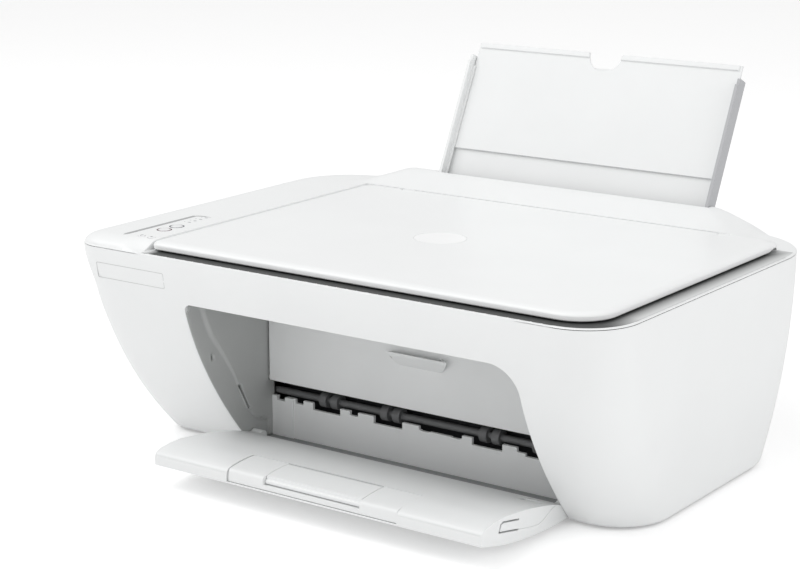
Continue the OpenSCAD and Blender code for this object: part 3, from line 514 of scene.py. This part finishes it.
def mouth_outline():
    """The output opening, seen from the front; it runs out through the lower edge."""
    rl, rr = 6, 20
    right = arc(MOUTH_X1 - rr, MOUTH_Z - rr, rr, 0, 14)
    left = arc(MOUTH_X0 - LIP + rl, MOUTH_Z - rl, rl, 90, 6)
    climb = [(MOUTH_X1, z) for z in LEVELS if z < MOUTH_Z - rr - 1]
    drop = [(MOUTH_X0 - LIP, z) for z in reversed(LEVELS) if z < MOUTH_Z - rl - 1]
    along = between(right[-1], left[0], 46)
    return climb + right + along + left + drop


def rear_holes():
    """Openings in the rear wall: mains socket, data socket and vent slots."""
    inlet, port = span("power_inlet"), span("usb_port")
    middle = (inlet[0].x + inlet[1].x) / 2
    holes = [rounded(middle - 11, middle + 11, 19, 37, 1.5)]
    middle = (port[0].x + port[1].x) / 2
    holes.append(rounded(middle - 6.5, middle + 6.5, 21.5, 33.5, 1))
    holes += [rounded(30 + 12 * i, 34 + 12 * i, 22, 46, 1.9) for i in range(8)]
    return holes


def case_ring(z):
    """Four corner arcs of the case at height z."""
    x, y0, y1 = side_x(z), front_y(z), rear_y(z)
    r_left = R_LEFT + 9 * smooth(down(z) / 0.22) * smooth((0.95 - down(z)) / 0.6)
    return [
        arc(x - R_REAR, y1 - R_REAR, R_REAR, 0),
        arc(-x + R_REAR, y1 - R_REAR, R_REAR, 90),
        arc(-x + r_left, y0 + r_left, r_left, 180),
        arc(x - R_RIGHT, y0 + R_RIGHT, R_RIGHT, 270),
    ]


def case_stretches(z):
    """The case's outline at height z, as the two stretches outside the flat front and rear panels."""
    rear_right, rear_left, front_left, front_right = case_ring(z)
    panel_ends = [(REAR_X[-1], rear_y(z)), (FRONT_X[0], front_y(z))]
    panel_ends += [(FRONT_X[-1], front_y(z)), (REAR_X[0], rear_y(z))]
    left = [panel_ends[0]] + between(panel_ends[0], rear_left[0], 3) + rear_left
    left += between(rear_left[-1], front_left[0], 40) + front_left
    left += between(front_left[-1], panel_ends[1], 10) + [panel_ends[1]]
    right = [panel_ends[2]] + between(panel_ends[2], front_right[0], 3) + front_right
    right += between(front_right[-1], rear_right[0], 36) + rear_right
    right += between(rear_right[-1], panel_ends[3], 3) + [panel_ends[3]]
    return left, right


def panel(bm, columns, holes, place):
    """A flat-fronted stretch of the case with openings; place turns (x, z) into a point."""
    first, last = columns[0], columns[-1]
    border = [(x, LEVELS[0]) for x in columns] + [(last, z) for z in LEVELS[1:-1]]
    border += [(x, LEVELS[-1]) for x in reversed(columns)] + [(first, z) for z in reversed(LEVELS[1:-1])]
    inner = [(x, z) for x in columns[1:-1] for z in LEVELS[1:-1]]
    for hole in holes:
        inner = [p for p, out in zip(inner, ~inside(inner, hole)) if out]
        inner = clear_of(inner, hole, 1.4)
    points, triangles = triangulate(border, holes, inner)
    verts = [bm.verts.new(place(*p)) for p in points]
    for t in triangles:
        bm.faces.new([verts[i] for i in t])
    bmesh.ops.delete(bm, geom=[v for v in verts if not v.link_faces], context="VERTS")


def outer_case():
    bm = bmesh.new()
    stretches = [case_stretches(z) for z in LEVELS]
    for side in range(2):
        rows = [[bm.verts.new((*p, z)) for p in s[side]] for s, z in zip(stretches, LEVELS)]
        for lower, upper in zip(rows, rows[1:]):
            for i in range(len(lower) - 1):
                bm.faces.new((lower[i], lower[i + 1], upper[i + 1], upper[i]))
    panel(bm, FRONT_X, [mouth_outline()], lambda x, z: (x, front_y(z), z))
    panel(bm, REAR_X[::-1], rear_holes(), lambda x, z: (x, rear_y(z), z))
    build(bm, "case_shell", "case", "case_white", ["outer_case"], bevel=0.5, wall=WALL, sharp=50)


# ---- cavity ----

CHEEK_X0, CHEEK_X1 = MOUTH_X0, MOUTH_X1
CHEEK_Z0, CHEEK_Y1 = 4.6, -52.5
TRAY_HINGE, DOOR_HINGE = (-76, 10.5), (-57, 48)
# (y, z) points of the shoulder on the cheeks, behind the closed tray
RIDGE = [(-131, 120), (-126, 106), (-120, 92.5), (-106, 73.5), (-97.5, 60.5)]
RIDGE += [(-91.5, 49), (-83.5, 31), (-74, 22), (-60, 17)]
STEP = 1.6


def ridge_y(z):
    """Where the shoulder that the closed tray rests on crosses height z."""
    zs = [p[1] for p in reversed(RIDGE)]
    return float(np.interp(z, zs, [p[0] for p in reversed(RIDGE)]))


def ridge_w(z):
    """Width of the shoulder's slope."""
    return 0.8 + 3.6 * smooth((z - 30) / 75)


def skin_y(z, d=0.0):
    """The front skin at height z, moved in by d along its own normal."""
    slope = FRONT_LEAN * 1.8 * down(z) ** 0.8 / RIM_Z
    return front_y(z) + d * math.sqrt(1 + slope * slope)


def cheek(name, x, inward, skin, holes):
    """One side wall of the opening, with the shoulder and holes; inward is +1 or -1 along X."""
    zs = [CHEEK_Z0 + (MOUTH_Z - CHEEK_Z0) * i / 46 for i in range(47)]
    front = [(skin_y(z, skin) if z < MOUTH_Z - 6.5 else skin_y(z, WALL + 0.2), z) for z in zs]
    border = front + between(front[-1], (CHEEK_Y1, MOUTH_Z), 24)
    border += [(CHEEK_Y1, z) for z in reversed(zs)] + between((CHEEK_Y1, CHEEK_Z0), front[0], 16)
    inner = []
    for z in np.arange(CHEEK_Z0 + 1.5, MOUTH_Z - 1, 1.5):
        centre, w = ridge_y(z), ridge_w(z)
        slope = [(centre + w * (t - 0.5), z) for t in (-0.15, 0, 0.15, 0.35, 0.5, 0.65, 0.85, 1, 1.15)]
        flat = [(y, z) for y in np.arange(-150, CHEEK_Y1, 3) if abs(y - centre) > w * 0.65 + 1.2]
        inner += slope + flat
    inner = [p for p, keep in zip(inner, inside(inner, border)) if keep]
    inner = clear_of(inner, border, 0.7)
    for hole in holes:
        inner = [p for p, hit in zip(inner, inside(inner, hole)) if not hit]
        inner = clear_of(inner, hole, 0.5)

    def face(y, z):
        raised = smooth((y - ridge_y(z)) / ridge_w(z) + 0.5)
        return x + inward * STEP * raised

    def back(y, z):
        return x - inward * (LIP - 0.1 if y < skin_y(z, WALL + 0.1) else WALL)

    bm = slab([(border, holes, inner, face)], back, lambda y, z, h: (h, y, z))
    build(bm, name, "case", "liner_grey", bevel=0)


def cavity():
    """The lining of the output opening: two cheeks, the soffit and the panel over the ink door."""
    pivots = [circle(*TRAY_HINGE, 2.7, 32), circle(*DOOR_HINGE, 2.2, 32)]
    latch = [(-91.8, 49.6), (-90.6, 50.2), (-81.1, 31.4), (-82.3, 30.8)]
    keep = [(-119.4, 77.6), (-117.6, 77), (-116.8, 73.6), (-118.6, 74.2)]
    cheek("cheek_left", CHEEK_X0, 1, 0.12, pivots + [latch, keep])
    cheek("cheek_right", CHEEK_X1, -1, WALL + 0.15, pivots)
    bottom, top, rear = MOUTH_Z, MOUTH_Z + 2.4, -57.6
    section = [(skin_y(bottom, WALL + 0.2), bottom), (rear, bottom)]
    section += [(rear, top), (skin_y(top, WALL + 0.2), top)]
    roof = prism(section, CHEEK_X0 - WALL, CHEEK_X1 + WALL)
    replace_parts(build(roof, "mouth_soffit", "case", "liner_grey", bevel=0.3), "cavity_liner")
    y0, z0, z1 = span("access_door")[0].y + 8, span("access_door")[1].z + 0.5, MOUTH_Z + 1
    header = prism([(y0, z0), (y0 + 2.5, z0), (y0 + 2.5, z1), (y0, z1)], CHEEK_X0, CHEEK_X1)
    build(header, "door_header", "case", "door_grey", bevel=0.3)


# ---- ink door ----

SCOOP = (19.5, 24.8, 17.0)  # middle, half width at the lip, half width at the door


def ink_door():
    """The flat door with its hinge roll, stiffening ribs and a scoop handle with slanted ends."""
    low, high = span("access_door")
    x0, x1 = low.x + 7, high.x - 7
    face, back = DOOR_HINGE[0] - 3, DOOR_HINGE[0] - 0.5
    knuckle = swept(DOOR_HINGE, 2.5, np.linspace(1.77, -2.4, 20))
    profile = [(back, high.z - 0.4), (back, 50.6)] + knuckle + [(face + 0.5, 46.2), (face, 46.8)]
    profile += [(face, high.z - 0.7), (face + 0.5, high.z), (back - 0.4, high.z)]
    build(prism(profile, x0, x1), "door_panel", "ink_door", "door_grey", ["access_door"], bevel=0.2)
    build(prism(circle(*DOOR_HINGE, 2.0, 32), low.x, high.x), "door_pin", "ink_door", "door_grey", bevel=0.2)
    for i, x in enumerate((-80, -30, 66, 112)):
        rib = prism([(back - 0.2, 52), (back + 1.8, 53), (back + 1.8, 107), (back - 0.2, 108)], x, x + 1.5)
        build(rib, "door_rib_%d" % i, "ink_door", "door_grey", bevel=0.2)
    middle, wide, narrow = SCOOP
    reach, base, rim, wall = 5.6, 76.3, 86.0, 1.3

    def ends(t, inset=0.0):
        half = narrow + (wide - narrow) * t - inset
        return middle - half, middle + half

    ts = [i / 10 for i in range(11)]
    outer = [(ends(t)[0], face + 0.2 - reach * t) for t in ts]
    outer += [(ends(t)[1], face + 0.2 - reach * t) for t in reversed(ts)]
    inner_ts = [i * (reach - wall) / reach / 10 for i in range(11)]
    pocket = [(ends(t, wall)[0], face - 0.1 - reach * t) for t in inner_ts]
    pocket += [(ends(t, wall)[1], face - 0.1 - reach * t) for t in reversed(inner_ts)]

    def depth(y):
        return max(0.0, face - y) / reach

    def under(x, y):
        return base + (rim - 1.0 - base) * depth(y) ** 1.15

    def floor(x, y):
        return base + 2.0 + (rim - base - 2.4) * min(1.0, depth(y) * reach / (reach - wall)) ** 1.3

    columns = np.arange(middle - 22, middle + 22.1, 2)
    rows = [(x, y) for x in columns for y in np.arange(face - reach + 0.4, face, 0.5)]
    on_lip = [p for p, a, b in zip(rows, inside(rows, outer), inside(rows, pocket)) if a and not b]
    in_pocket = [p for p, keep in zip(rows, inside(rows, pocket)) if keep]
    regions = [
        (outer, [pocket], clear_of(clear_of(on_lip, outer, 0.25), pocket, 0.25), lambda x, y: rim),
        (pocket, [], clear_of(in_pocket, pocket, 0.25), floor),
    ]
    build(slab(regions, under), "door_scoop", "ink_door", "door_grey", bevel=0.18, sharp=50)


# ---- top frame ----

FLANGE_Z = 150.2
CROWN_Z = 156.6
STRIP_X = LID_LOW.x - 0.8
HINGE = [Vector(j["pos_m"]) / MM for j in frame["joints"] if j["name"] == "lid_hinge"][0]
STEP_Y = HINGE.y + 3.4
SLOT_Y = 141.6
SLOT_REAR = 146.6
SLOT_Z = 152.1
SLOT_X0, SLOT_X1 = SUPPORT_LOW.x - 0.6, SUPPORT_HIGH.x + 0.6
BUTTONS = {
    "colour_button": ("colour_key", 4.5),
    "mono_button": ("mono_key", 4.5),
    "cancel_button": ("cancel_key", 2.8),
    "resume_button": ("resume_key", 2.8),
}


def soft_min(a, b, k):
    """The lower of two heights, with a fillet k deep where they cross."""
    h = max(0.0, min(1.0, 0.5 + (b - a) / (2 * k)))
    return b + (a - b) * h - k * h * (1 - h)


def roll(d, width, rise, power):
    """A rounded edge: 0 at d = 0, rise at d = width."""
    t = max(0.0, min(1.0, d / width))
    return rise * (1 - (1 - t) ** power) ** (1 / power)


def flange(x, y):
    """The flat ledge round the lid, with a small chamfer at the rim."""
    return FLANGE_Z - 0.6 + 0.6 * min(1.0, inset(x, y) / 0.7)


def crown(x, y):
    """The rounded top left of the lid, and the raised ridge behind it."""
    d = inset(x, y) - 0.7
    if d <= 0:
        return flange(x, y)
    ridge = FLANGE_Z + roll(d, 3.7, TOP_HIGH.z - FLANGE_Z, 2.2)
    ridge = soft_min(ridge, CROWN_Z + 0.304 * (y - 110.4), 2.0)
    ridge = soft_min(ridge, CROWN_Z + 0.344 * (x + 159), 2.0)
    ridge = soft_min(ridge, 155 + 0.391 * (160 - x), 2.0)
    low = FLANGE_Z + roll(d, 14.3, CROWN_Z - FLANGE_Z, 1.9) * smooth((174 - x) / 14)
    return -soft_min(-ridge, -low, 0.05 + 1.6 * min(1.0, d / 5))


def smooth(t):
    """0 below 0, 1 above 1, with soft ends."""
    t = max(0.0, min(1.0, t))
    return t * t * (3 - 2 * t)


def strip_top(x, y):
    """The crown, running down to the ledge beside the lid's front left corner."""
    dip = smooth(1.15 - math.hypot((STRIP_X - x) / 19, (y - FRONT) / 17))
    high = crown(x, y)
    return high - (high - flange(x, y)) * dip


def frame_bottom(x, y):
    """The frame's underside: it drops inside the case, and leaves a fine seam above the case's sides."""
    d = inset(x, y)
    if d < 2.7:
        return RIM_Z + (0.45 if abs(x) > 150 else 0)
    return RIM_Z - 1.7


def centre_of(node):
    low, high = span(node)
    return (low.x + high.x) / 2, (low.y + high.y) / 2


def top_frame():
    """The frame over the case: ledge, crown and ridge, with the window, paper slot and button bores."""
    arcs = case_ring(RIM_Z)
    turn = math.sqrt(R_REAR ** 2 - (STEP_Y - (REAR - R_REAR)) ** 2)
    right_end = (HALF_W - R_REAR + turn, STEP_Y)
    front_end = (STRIP_X, FRONT)
    corner = (STRIP_X, STEP_Y)
    step = [front_end] + between(front_end, corner, 50)
    step += [corner] + between(corner, right_end, 80) + [right_end]
    rim = [p for p in arcs[0] if p[1] > STEP_Y + 0.5]
    slot_right = [(SLOT_X1, y) for y in (REAR, REAR - 0.3, REAR - 0.7, REAR - 1.5, SLOT_REAR)]
    slot_left = [(SLOT_X0, y) for _, y in reversed(slot_right)]
    rim += between(rim[-1], slot_right[0], 6) + slot_right
    slot_ends = (SLOT_X1, SLOT_Y), (SLOT_X0, SLOT_Y)
    slot_front = [slot_ends[0]] + between(*slot_ends, 50) + [slot_ends[1]]
    rim += slot_front + slot_left
    rim += between(slot_left[-1], arcs[1][0], 10) + arcs[1] + between(arcs[1][-1], arcs[2][0], 44) + arcs[2]
    rim += between(arcs[2][-1], front_end, 8)
    bores = [circle(*centre_of(node), r) for node, (_, r) in BUTTONS.items()]
    upper = rim + step
    inner = []
    for d in (0.35, 0.7, 0.8, 0.95, 1.15, 1.4, 1.75, 2.2, 2.6, 2.8, 3.6, 4.6, 6, 7.6, 9.6, 12, 15):
        ring = rim_outline(d)
        for a, b in zip(ring, ring[1:] + ring[:1]):
            inner += [a] + spaced(a, b, 5)
    inner += [p for p in grid(-HALF_W, HALF_W, FRONT, REAR, 4) if inset(*p) > 17]
    inner = [p for p, keep in zip(inner, inside(inner, upper)) if keep]
    gap = 0.9
    inner = clear_of(inner, step + step[::-1], gap)
    inner = clear_of(inner, slot_right + slot_front + slot_left, gap)
    for bore in bores:
        inner = [p for p, hit in zip(inner, inside(inner, bore)) if not hit]
        inner = clear_of(inner, bore, gap)
    ledge = step[::-1] + between(front_end, arcs[3][0], 60)
    ledge += arcs[3] + between(arcs[3][-1], arcs[0][0], 36)
    ledge += [p for p in arcs[0] if p[1] < STEP_Y - 0.5]
    window = rounded(-122, 176, -111, 97, 4)
    flat = []
    for d in (0.35, 0.7, 2.6, 2.8):
        ring = rim_outline(d)
        for a, b in zip(ring, ring[1:] + ring[:1]):
            flat += [a] + spaced(a, b, 8)
    flat = [p for p, keep in zip(flat, inside(flat, ledge)) if keep]
    flat = clear_of(flat, step + step[::-1], gap)
    sill = slot_left + between(slot_left[-1], slot_right[0], 50) + slot_right
    sill += between(slot_right[-1], slot_left[0], 50)
    regions = [
        (upper, bores, inner, strip_top),
        (ledge, [window], flat, flange),
        (sill, [], [], lambda x, y: min(SLOT_Z, crown(x, y))),
    ]
    build(slab(regions, frame_bottom), "top_cover", "case", "case_white", ["top_frame"], bevel=0.3)
    for x in (-112, 154):
        foot, back = FLANGE_Z - 0.5, HINGE.y + 5
        knuckle = swept((HINGE.y, HINGE.z), 2.9, np.linspace(1.2, math.pi, 14))
        knuckle += [(HINGE.y - 2.4, foot), (back, foot), (back, 156), (HINGE.y + 1.6, 156.4)]
        build(prism(knuckle, x, x + 8), "hinge_ear_%d" % (x > 0), "case", "case_white", bevel=0.3)


def seam(name, ring):
    """A dark strip of painted shadow for the gap between the top cover and the case, along a stretch of the rim.
    """
    inner = [(x * (1 - 0.6 / math.hypot(x, y)), y * (1 - 0.6 / math.hypot(x, y))) for x, y in ring]
    strip = slab([(ring + inner[::-1], [], [], lambda x, y: RIM_Z + 0.45)], lambda x, y: RIM_Z - 0.1)
    # the dark_plastic slot here paints the shadow in the seam; there is no dark part there
    build(strip, name, "case", "dark_plastic", bevel=0)


def painted_shadow_seams():
    ring = rim_outline(0.35)
    quarter = len(ring) // 4
    left = ring[quarter:3 * quarter]
    right = ring[3 * quarter:] + ring[:quarter]
    seam("seam_left_painted_shadow", [p for p in left if p[0] < -151])
    seam("seam_right_painted_shadow", [p for p in right if p[0] > 151])


def lid_seat_painted_shade():
    """The bed under the lid's edge, coloured with painted shade: charcoal at the front, grey along the side."""
    outer = [p for p in rim_outline(2.1) if p[0] > STRIP_X + 1 and p[1] < STEP_Y - 1]
    edge = math.sqrt((R_REAR - 2.1) ** 2 - (STEP_Y - 1 - (REAR - R_REAR)) ** 2)
    outer += [(HALF_W - R_REAR + edge, STEP_Y - 1), (STRIP_X + 1, STEP_Y - 1)]
    outer += [(STRIP_X + 1, FRONT + 2.1)]
    outer.sort(key=lambda p: math.atan2(p[1], p[0]))
    inner = rounded(-121, 175, -110, 96, 4)
    seat = slab([(outer, [inner], [], lambda x, y: FLANGE_Z + 0.08)], lambda x, y: FLANGE_Z - 0.4)
    # the dark_plastic slot is swapped at once for the painted shade ramp; the bed is a stand-in for shade
    piece = build(seat, "lid_seat_painted_shade", "case", "dark_plastic", bevel=0)
    piece.data.materials.clear()
    piece.data.materials.append(painted_shade_seat_finish())


# ---- lid ----

BADGE = (7, -19)
BADGE_R = (18.5, 17.5)
LID_R_LEFT, LID_R_RIGHT, LID_R_REAR = 8, 26, 6.6


def lid_inset(x, y):
    """How far a point lies inside the lid's front and side edges."""
    u = min(x - LID_LOW.x, LID_HIGH.x - x)
    if y > 0:
        r, v = LID_R_REAR, max(0.0, HINGE.y + 3 - y)
        return r - math.hypot(r - u, r - v) if u < r and v < r else u
    r, v = LID_R_LEFT if x < 0 else LID_R_RIGHT, y - LID_LOW.y
    return r - math.hypot(r - u, r - v) if u < r and v < r else min(u, v)


def lid_top(x, y):
    edge = LID_HIGH.z - 3.0 + roll(lid_inset(x, y), 6.5, 3.0, 2)
    back = max(0.0, (y - HINGE.y + 1) / 4)
    return min(edge, HINGE.z + 3.1 * math.sqrt(max(0.0, 1 - back * back)))


def lid_bottom(x, y):
    d = lid_inset(x, y)
    lip = smooth((4.8 - d) / 2) * smooth((HINGE.y - 8 - y) / 4)
    edge = 152.8 - 1.5 * lip + 0.8 * max(0.0, 1 - d / 0.8)
    barrel = HINGE.z - math.sqrt(max(0.0, 9 - (y - HINGE.y) ** 2))
    return barrel if y > HINGE.y else min(edge, barrel)


def scanner_lid():
    """The lid, with its hinge barrel between the ears, and a plain oval badge let into it."""
    x0, x1, y0, y1 = LID_LOW.x, LID_HIGH.x, LID_LOW.y, HINGE.y + 3
    rl, rr = LID_R_LEFT, LID_R_RIGHT
    rows = [y1 - t for t in (0.05, 0.2, 0.5, 0.9, 1.4, 2, 2.6, 3, 3.7, 4.5, 5.3, 6.6)]
    outline = arc(x1 - LID_R_REAR, y1 - LID_R_REAR, LID_R_REAR, 0, 12)
    at = x1 - LID_R_REAR
    for ear in (154, -112):
        notch = [ear + 8.5, ear - 0.5]
        outline += between((at, y1), (notch[0], y1), max(2, round((at - notch[0]) / 6))) + [(notch[0], y1)]
        outline += [(notch[0], y) for y in rows]
        outline += [(notch[1], y) for y in reversed(rows)] + [(notch[1], y1)]
        at = notch[1]
    outline += between((at, y1), (x0, y1), 8) + [(x0, y1)] + [(x0, y) for y in rows]
    left, right = arc(x0 + rl, y0 + rl, rl, 180), arc(x1 - rr, y0 + rr, rr, 270)
    down_left = [p for p in spaced((x0, y1 + 39), left[0], 6) if p[1] < y1 - 7]
    up_right = [p for p in spaced(right[-1], (x1, y1 + 39), 6) if p[1] < y1 - 7]
    outline += down_left + left + spaced(left[-1], right[0], 6) + right + up_right
    inner = []
    for d in (0.05, 0.12, 0.25, 0.45, 0.7, 1, 1.4, 1.9, 2.6, 3.4, 4.2, 5.2, 6.5):
        ring = plate(x0 + d, x1 - d, y0 + d, y1 + 40, (1, 1, rl - d, rr - d))
        for a, b in zip(ring, ring[1:] + ring[:1]):
            inner += [a] + spaced(a, b, 6)
    inner += [(x, y) for x in np.arange(x0 + 6, x1 - 5, 6) for y in rows]
    inner += grid(x0, x1, y0, y1 - 6, 12)
    inner = [p for p, keep in zip(inner, inside(inner, outline)) if keep]
    inner = [p for p in inner if p[1] > y0 + 6 or lid_inset(*p) > 0.04]
    rear_edge = [p for p in outline if p[1] > y1 - 7]
    behind = [p for p in inner if p[1] >= y1 - 6.5]
    inner = [p for p in inner if p[1] < y1 - 6.5] + clear_of(behind, rear_edge, 0.03)
    recess = ellipse(BADGE, BADGE_R)
    inner = clear_of([p for p, hit in zip(inner, inside(inner, recess)) if not hit], recess, 1)
    regions = [(outline, [recess], inner, lid_top), (recess, [], [], lambda x, y: LID_HIGH.z - 0.5)]
    build(slab(regions, lid_bottom), "lid_shell", "scanner_lid", "lid_white", ["lid"], bevel=0.25, sharp=65)
    disc = ellipse(BADGE, (BADGE_R[0] - 0.35, BADGE_R[1] - 0.35))
    badge = slab([(disc, [], [], lambda x, y: LID_HIGH.z)], lambda x, y: LID_HIGH.z - 0.7)
    badge = build(badge, "lid_badge", "scanner_lid", "lid_white", bevel=0.15)
    paint(badge, "badge_ink", (0.94, 0.945, 0.945))


# ---- control strip ----


def paint(piece, name, colour):
    """Gives a thin printed mark, or a thin strip of painted shade, its own colour."""
    piece.data.materials.clear()
    piece.data.materials.append(print_of(name, colour))
    return piece


def mark(name, border, holes=(), proud=0.07, body="case", base=CROWN_Z, colour=(0.2, 0.2, 0.21)):
    """A printed or inlaid mark a hair above a flat face."""
    bm = slab([(border, list(holes), [], lambda x, y: base + proud)], lambda x, y: base - 0.3)
    return paint(build(bm, name, body, "inlay_grey", bevel=0), name + "_ink", colour)


def control_strip():
    for node, (body, bore) in BUTTONS.items():
        low, high = span(node)
        r, top = bore - 0.3, high.z
        dome = [(0, low.z + 0.6), (r, low.z + 0.6), (r, top - 0.65)]
        dome += [(r - 0.12, top - 0.35), (r - 0.4, top - 0.15)]
        dome += [(r * 0.75, top - 0.06), (r * 0.4, top - 0.01), (0, top)]
        build(lathe(dome, centre_of(node)), node + "_cap", body, "button_white", [node], bevel=0)
    for node, colour in (("colour_button", (0.1, 0.02, 0.04)), ("mono_button", (0.03, 0.035, 0.06))):
        at = centre_of(node)
        mark(node + "_ring", circle(*at, 5.35, 64), [circle(*at, 4.62, 64)], colour=colour)
    x, y = centre_of("cancel_button")
    top = span("cancel_button")[1].z
    base = top - 0.03
    mark("cancel_mark", rounded(x - 0.4, x + 0.4, y - 1.6, y + 1.6, 0.38), body="cancel_key", base=base)
    mark("resume_mark", circle(*centre_of("resume_button"), 0.8, 24), body="resume_key", base=base)
    low, high = span("status_bar")
    x, y0, y1, w = (low.x + high.x) / 2, low.y, high.y - 3, 1.7
    bend = [(x + 7 - 7 * math.cos(a), y1 + 3.2 * math.sin(a)) for a in np.linspace(0.15, 1.45, 10)]
    bar = [(x, y0 - 2.5), (x + w, y0 + 2)] + between((x + w, y0 + 2), (x + w, y1), 10) + [(x + w, y1)]
    bar += [(p[0] + w * 0.8, p[1] - w) for p in bend] + [(x + 13, y1 + 2.6)] + bend[::-1]
    bar += [(x - w, y1)] + between((x - w, y1), (x - w, y0 + 1), 10) + [(x - w, y0 + 1)]
    groove = mark("status_groove", bar, proud=0.05, colour=(0.38, 0.385, 0.39))
    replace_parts(groove, "status_bar")
    low, high = span("status_lights")
    lamps = []
    for i in range(4):
        y = low.y + 1.5 + 6 * i
        window = rounded(low.x + 0.6, high.x - 0.8, y - 0.8, y + 0.8, 0.7)
        lamps.append(mark("status_light_%d" % i, window, colour=(0.45, 0.46, 0.47)))
        mark("status_dot_%d" % i, circle(low.x - 2.4, y, 0.45, 20), colour=(0.4, 0.41, 0.42))
    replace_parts(lamps[0], "status_lights")


def name_plate():
    """A plain plate at the front's upper left, with nothing on it; its outline is a thin grey strip of painted
    shade for the groove round its edge.
    """
    outer = plate(-189.5, -128.6, 127.6, 138.7, (1.2, 1.2, 1.2, 1.2), 6)
    inner = plate(-189.1, -129, 128, 138.3, (0.9, 0.9, 0.9, 0.9), 6)

    def on_front(x, z, h):
        return x, front_y(z) - h, z

    # painted shade: a pale grey line where the groove round the plate would be shaded
    line = slab([(outer, [inner], [], lambda x, z: 0.06)], lambda x, z: -0.2, on_front)
    paint(build(line, "name_plate_line", "case", "inlay_grey", bevel=0), "plate_ink", (0.6, 0.605, 0.605))


# ---- scene ----


def paper_finish():
    """Pale paper with a faint glow, lifted to white for the camera alone."""
    paper = shader("floor", (0.9, 0.9, 0.9), 0.6, bump=0.1, grain=200, spread=0.004)
    nodes, links = paper.node_tree.nodes, paper.node_tree.links
    glow = nodes.new("ShaderNodeMath")
    glow.operation = "MULTIPLY_ADD"
    glow.inputs[1].default_value = 0.22
    glow.inputs[2].default_value = 0.08
    links.new(nodes.new("ShaderNodeLightPath").outputs["Is Camera Ray"], glow.inputs[0])
    nodes["Principled BSDF"].inputs["Emission Color"].default_value = (1, 1, 1, 1)
    links.new(glow.outputs["Value"], nodes["Principled BSDF"].inputs["Emission Strength"])
    return paper


def studio():
    """A pale floor, one large soft key light, a fill and an even sky."""
    low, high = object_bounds()
    floor = bpy.data.meshes.new("floor")
    reach = 40
    corners = [(-reach, -reach, 0), (reach, -reach, 0), (reach, reach, 0), (-reach, reach, 0)]
    floor.from_pydata(corners, [], [(0, 1, 2, 3)])
    ground = bpy.data.objects.new("floor", floor)
    bpy.context.scene.collection.objects.link(ground)
    floor.materials.append(paper_finish())
    ground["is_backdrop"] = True
    world = bpy.data.worlds.new("studio")
    bpy.context.scene.world = world
    world.use_nodes = True
    sky = world.node_tree.nodes["Background"]
    sky.inputs["Color"].default_value = (1, 1, 1, 1)
    sky.inputs["Strength"].default_value = 0.66
    aim = (low + high) / 2
    for name, place, size, power in (
        ("key", (-0.9, -0.7, 1.9), 1.6, 18),
        ("side", (1.9, 0.1, 1.0), 1.4, 8),
        ("fill", (0.5, -2.3, 0.7), 1.5, 3.0),
    ):
        light = bpy.data.lights.new(name, "AREA")
        light.size = size
        light.energy = power
        lamp = bpy.data.objects.new(name, light)
        bpy.context.scene.collection.objects.link(lamp)
        lamp.location = place
        lamp.rotation_euler = (aim - Vector(place)).to_track_quat("-Z", "Y").to_euler()
    bpy.context.scene.view_settings.view_transform = "Standard"


def camera():
    """Looks at the printer from its front right, slightly above."""
    lens = bpy.data.cameras.new("camera")
    lens.lens = 92.3
    lens.clip_start = 0.05
    seen = bpy.data.objects.new("camera", lens)
    bpy.context.scene.collection.objects.link(seen)
    azimuth, elevation, distance = math.radians(35.54), math.radians(13.98), 1.4
    aim = Vector((-0.0148, -0.0353, 0.1243))
    flat = math.cos(elevation)
    back = Vector((math.sin(azimuth) * flat, -math.cos(azimuth) * flat, math.sin(elevation)))
    seen.location = aim + back * distance
    seen.rotation_euler = (-back).to_track_quat("-Z", "Y").to_euler()
    bpy.context.scene.camera = seen


camera()
dress_cad()
outer_case()
cavity()
ink_door()
top_frame()
painted_shadow_seams()
lid_seat_painted_shade()
scanner_lid()
control_strip()
name_plate()
studio()
